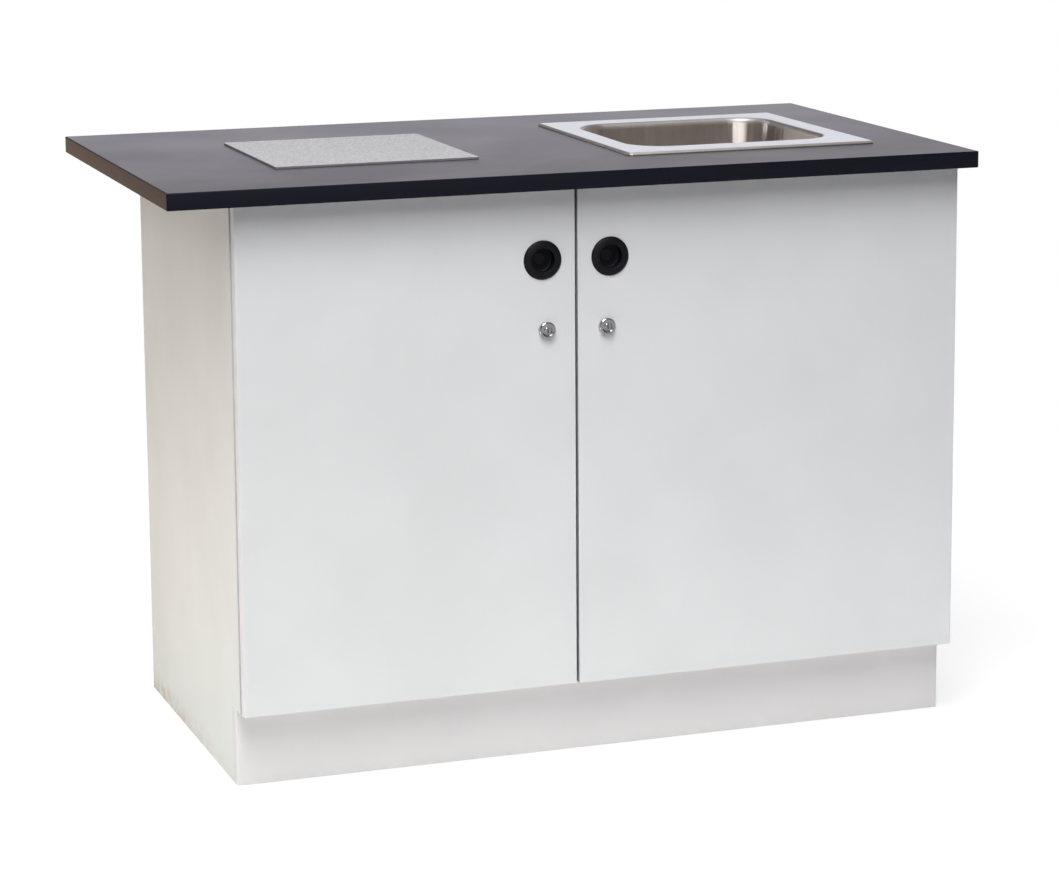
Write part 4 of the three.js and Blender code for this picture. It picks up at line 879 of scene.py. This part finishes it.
# Locks: a chromed brass cylinder through each door, held by a nut behind it. The plug inside has the
# key slot in its face and carries a zinc-plated cam on its tail.
LOCK_PLUG = 6 * MM
LOCK_BARREL = 9 * MM
LOCK_CHAMFER = 1.3 * MM
LOCK_DISH = 0.7 * MM
LOCK_TAIL = 4 * MM
KEY_SLOT_WIDTH = 1.6 * MM
KEY_SLOT_HEIGHT = 7 * MM
KEY_SLOT_DEPTH = 8 * MM
PLUG_EASE = 0.4 * MM
PLUG_BOSS = 4.4 * MM
PLUG_STEP = 1.8 * MM
for hung in ("left", "right"):
    low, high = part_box("lock_body_" + hung)
    door_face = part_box("door_" + hung)[0].y
    lock_middle = ((low.x + high.x) / 2, door_face, (low.z + high.z) / 2)
    bezel_radius = (high.x - low.x) / 2
    lock_rise = door_face - low.y
    lock_end = door_face - high.y
    lock_outline = rounded([
        (LOCK_PLUG + 0.3 * MM, lock_end, SQUARE_END),
        (LOCK_BARREL, lock_end, 0.5 * MM),
        (LOCK_BARREL, 0, SQUARE_END),
        (bezel_radius, 0, SQUARE_END),
        (bezel_radius, lock_rise - LOCK_CHAMFER, 0.6 * MM),
        (bezel_radius - LOCK_CHAMFER, lock_rise, 0.8 * MM),
        (LOCK_BARREL, lock_rise, 0.4 * MM),
        (LOCK_PLUG + 0.8 * MM, lock_rise - LOCK_DISH, 0.5 * MM),
        (LOCK_PLUG + 0.3 * MM, lock_rise - LOCK_DISH, SQUARE_END),
    ], closed=True)
    body = surface("lock_cylinder_" + hung, turned(lock_outline, lock_middle, OUT_OF_DOOR), chrome, loop=True)
    stand_for(body, "door_" + hung, "chrome_plate", "lock_body_" + hung)

    low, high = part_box("lock_nut_" + hung)
    holding_nut = nut("holding_nut_" + hung, 24 * MM, LOCK_BARREL + 0.3 * MM, low.y, high.y,
                      (lock_middle[0], 0, lock_middle[2]), TO_THE_BACK, zinc)
    stand_for(holding_nut, "door_" + hung, "zinc_plated_steel", "lock_nut_" + hung)

    # Rings of the tail, the plug's side and its face, then the slot's outline at the face and inside it.
    low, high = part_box("lock_plug_" + hung)
    plug_face = door_face - low.y
    tail_end = door_face - high.y
    plug_rows = np.array([
        (LOCK_TAIL, LOCK_TAIL, LOCK_TAIL, tail_end),
        (LOCK_TAIL, LOCK_TAIL, LOCK_TAIL, lock_end - 0.3 * MM),
        (LOCK_PLUG, LOCK_PLUG, LOCK_PLUG, lock_end - 0.3 * MM),
        (LOCK_PLUG, LOCK_PLUG, LOCK_PLUG, plug_face - PLUG_STEP),
        (PLUG_BOSS, PLUG_BOSS, PLUG_BOSS, plug_face - PLUG_STEP),
        (PLUG_BOSS, PLUG_BOSS, PLUG_BOSS, plug_face - PLUG_EASE),
        (PLUG_BOSS - PLUG_EASE, PLUG_BOSS - PLUG_EASE, PLUG_BOSS - PLUG_EASE, plug_face),
        (KEY_SLOT_WIDTH / 2, KEY_SLOT_HEIGHT / 2, 0.2 * MM, plug_face),
        (KEY_SLOT_WIDTH / 2, KEY_SLOT_HEIGHT / 2, 0.2 * MM, plug_face - KEY_SLOT_DEPTH),
    ])
    plug = surface("key_plug_" + hung, np.array(lock_middle) + rings(*plug_rows.T) @ OUT_OF_DOOR, chrome)
    stand_for(plug, "lock_" + hung, "chrome_plate", "lock_plug_" + hung)
    finish_node("lock_cam_" + hung, zinc, 0.3 * MM)

# Floor, light and camera: a pale studio floor that turns white away from the unit, a large soft
# lamp above the viewer's left shoulder, a warm one at the left, and the photograph's viewpoint.
FLOOR_HALF = 30.0
FLOOR_DROP = 0.5 * MM
CAMERA_PLACE = (-1.573, -4.626, 1.464)
CAMERA_AZIMUTH = 19.68
CAMERA_DOWN = 10.29
CAMERA_ROLL = -0.31
IMAGE_WIDTH = 1059
IMAGE_HEIGHT = 882
FOCAL_PIXELS = 3313
OPTICAL_AXIS = (564, 331)  # pixel that the lens points at
SENSOR = 36.0

scene.view_settings.view_transform = "Standard"



def passed_on(tree):
    """1 for rays that gloss or glass pass on, 0 for the camera's own rays and diffuse light."""
    rays = [add(tree, "LightPath", {}, out=f"Is {kind} Ray") for kind in ("Glossy", "Transmission")]
    return add(tree, "Math", {"Value": rays[0], "Value_001": rays[1]}, operation="MAXIMUM")


floor_mesh = bpy.data.meshes.new("floor")
floor_corners = FLOOR_HALF * np.array([[-1, -1, 0], [1, -1, 0], [1, 1, 0], [-1, 1, 0]])
floor_corners[:, 2] = -FLOOR_DROP
floor_mesh.from_pydata(floor_corners.tolist(), [], [[0, 1, 2, 3]])
floor = bpy.data.objects.new("floor", floor_mesh)
scene.collection.objects.link(floor)
material, tree, place = new_material("pale_floor")
distance = add(tree, "VectorMath", {"Vector": place}, out="Value", operation="LENGTH")
far = add(tree, "MapRange", {"Value": distance, "From Min": 1.2, "From Max": 3.0}, interpolation_type="SMOOTHSTEP")
card = add(tree, "BsdfDiffuse", {"Color": linear("#CBCBCB")})
lit = add(tree, "BsdfDiffuse", {"Color": linear("#A0A0A0")})
glow = add(tree, "Emission", {"Color": linear("#FFFFFF"), "Strength": 0.72})
shaded = add(tree, "AddShader", {"Shader": lit, "Shader_001": glow})
white = add(tree, "Emission", {"Color": linear("#FFFFFF"), "Strength": 1.0})
seen = add(tree, "MixShader", {"Fac": far, "Shader": shaded, "Shader_001": white})
backwards = add(tree, "SeparateXYZ", {"Vector": place}, out="Y")
leftwards = add(tree, "SeparateXYZ", {"Vector": place}, out="X")
at_back = add(tree, "MapRange", {"Value": backwards, "From Min": 0.0, "From Max": 0.8}, interpolation_type="SMOOTHSTEP")
at_left = add(tree, "MapRange", {"Value": leftwards, "From Min": -0.6, "From Max": 0.6, "To Min": 1.0, "To Max": 0.0},
              interpolation_type="SMOOTHSTEP")
warm = add(tree, "Math", {"Value": at_back, "Value_001": at_left}, operation="MULTIPLY")
floor_tone = add(tree, "Mix", {"Factor_Float": warm, "A_Color": linear("#C4C5C8"), "B_Color": linear("#F4D2B8")},
                 out="Result_Color", data_type="RGBA")
mirrored = add(tree, "Emission", {"Color": floor_tone, "Strength": 1.0})
unseen = add(tree, "MixShader", {"Fac": passed_on(tree), "Shader": card, "Shader_001": mirrored})
final = add(tree, "MixShader", {"Fac": add(tree, "LightPath", {}, out="Is Camera Ray"),
                                "Shader": unseen, "Shader_001": seen})
add(tree, "OutputMaterial", {"Surface": final})
floor_mesh.materials.append(material)

world = bpy.data.worlds.new("studio")
scene.world = world
world.use_nodes = True
tree = world.node_tree
tree.nodes.clear()
direction = add(tree, "TexCoord", {}, out="Generated")
climb = add(tree, "SeparateXYZ", {"Vector": direction}, out="Z")
towards_back = add(tree, "SeparateXYZ", {"Vector": direction}, out="Y")
behind = add(tree, "MapRange", {"Value": towards_back, "From Min": -0.1, "From Max": 0.35},
             interpolation_type="SMOOTHSTEP")
below_ceiling = add(tree, "MapRange", {"Value": climb, "From Min": 0.35, "From Max": 0.7, "To Min": 1.0, "To Max": 0.0},
                    interpolation_type="SMOOTHSTEP")
flattened = add(tree, "VectorMath", {"Vector": direction, "Vector_001": (1, 1, 0)}, operation="MULTIPLY")
openings = add(tree, "TexNoise", {"Vector": flattened, "Scale": 6.0, "Detail": 1.0})
lighter = add(tree, "MapRange", {"Value": openings, "From Min": 0.4, "From Max": 0.62}, interpolation_type="SMOOTHSTEP")
viewer_side = add(tree, "Mix", {"Factor_Float": lighter, "A_Color": linear("#5C534D"), "B_Color": linear("#A79D97")},
                  out="Result_Color", data_type="RGBA")
towards_right = add(tree, "SeparateXYZ", {"Vector": direction}, out="X")
sideways = add(tree, "Math", {"Value": towards_right, "Value_001": towards_back}, operation="DIVIDE")
right_half = add(tree, "MapRange", {"Value": sideways, "From Min": 0.03, "From Max": 0.18},
                 interpolation_type="SMOOTHSTEP")
backdrop = add(tree, "Mix", {"Factor_Float": right_half, "A_Color": linear("#4B474B"), "B_Color": linear("#FBF7FF")},
               out="Result_Color", data_type="RGBA")
wall = add(tree, "Mix", {"Factor_Float": behind, "A_Color": viewer_side, "B_Color": backdrop},
           out="Result_Color", data_type="RGBA")
overhead = add(tree, "MapRange", {"Value": climb, "From Min": 0.72, "From Max": 0.92}, interpolation_type="SMOOTHSTEP")
ceiling = add(tree, "Mix", {"Factor_Float": overhead, "A_Color": linear("#625B56"), "B_Color": linear("#D2CBC5")},
              out="Result_Color", data_type="RGBA")
room = add(tree, "Mix", {"Factor_Float": below_ceiling, "A_Color": ceiling, "B_Color": wall},
           out="Result_Color", data_type="RGBA")
studio_room = add(tree, "Background", {"Color": room, "Strength": 1.0})
plain_white = add(tree, "Background", {"Color": linear("#FFFFFF"), "Strength": 1.0})
fill = add(tree, "Background", {"Color": linear("#AFA8FF"), "Strength": 0.075})
unseen = add(tree, "MixShader", {"Fac": passed_on(tree), "Shader": fill, "Shader_001": studio_room})
studio = add(tree, "MixShader", {"Fac": add(tree, "LightPath", {}, out="Is Camera Ray"),
                                 "Shader": unseen, "Shader_001": plain_white})
add(tree, "OutputWorld", {"Surface": studio})

for name, place, aim, size, watts, colour in (
    ("key_lamp", (-1.0, -1.8, 4.2), (0.05, -0.3, 0.5), (2.0, 2.0), 122, "#FFFFFD"),
    ("front_lamp", (-1.1, -3.3, 3.4), (0.05, -0.3, 0.5), (2.0, 2.0), 74, "#FFFFFD"),
    ("left_lamp", (-2.6, 0.9, 2.6), (-0.5, 0.0, 0.4), (1.6, 1.6), 22.5, "#FFF8F0"),
    ("front_strip", (0.25, -0.75, 0.045), (0.25, -0.25, 0.04), (1.7, 0.06), 1.03, "#FFFFFD"),
    ("left_strip", (-1.3, -0.2, 0.08), (-0.5, -0.15, 0.1), (1.2, 0.12), 3.5, "#FFFCF8"),
    ("right_lamp", (3.0, 0.5, 2.4), (0.5, 0.0, 0.4), (1.6, 1.6), 20, "#FFFFFF"),
    ("back_lamp", (0.3, 3.2, 2.6), (0.0, 0.3, 0.4), (2.0, 1.6), 60, "#FFFFFF"),
    ("front_window", (0.01, -2.87, 1.9), (0.45, 0.1, 0.86), (0.6, 1.6), 9, "#F0F6FF"),
    ("side_window", (-2.0, 1.8, 1.9), (0.45, 0.1, 0.86), (0.2, 1.6), 14, "#FFFFFF"),
):
    lamp = bpy.data.objects.new(name, bpy.data.lights.new(name, "AREA"))
    lamp.data.shape = "RECTANGLE"
    lamp.data.size, lamp.data.size_y = size
    lamp.data.energy = watts
    lamp.data.color = linear(colour)[:3]
    towards = np.array(aim) - np.array(place)
    lamp.rotation_euler = Vector(towards).to_track_quat("-Z", "Y").to_euler()
    lamp.location = place
    lamp.visible_camera = False
    lamp.visible_glossy = name not in ("left_lamp", "right_lamp", "back_lamp")
    lamp.visible_diffuse = not name.endswith("window")
    scene.collection.objects.link(lamp)

camera = bpy.data.objects.new("camera", bpy.data.cameras.new("camera"))
camera.data.sensor_width = SENSOR
camera.data.lens = FOCAL_PIXELS / IMAGE_WIDTH * SENSOR
camera.data.shift_x = (IMAGE_WIDTH / 2 - OPTICAL_AXIS[0]) / IMAGE_WIDTH
camera.data.shift_y = (OPTICAL_AXIS[1] - IMAGE_HEIGHT / 2) / IMAGE_WIDTH
camera.matrix_world = (Matrix.Translation(CAMERA_PLACE)
                       @ Matrix.Rotation(math.radians(-CAMERA_AZIMUTH), 4, "Z")
                       @ Matrix.Rotation(math.radians(90 - CAMERA_DOWN), 4, "X")
                       @ Matrix.Rotation(math.radians(CAMERA_ROLL), 4, "Z"))
scene.collection.objects.link(camera)
scene.camera = camera
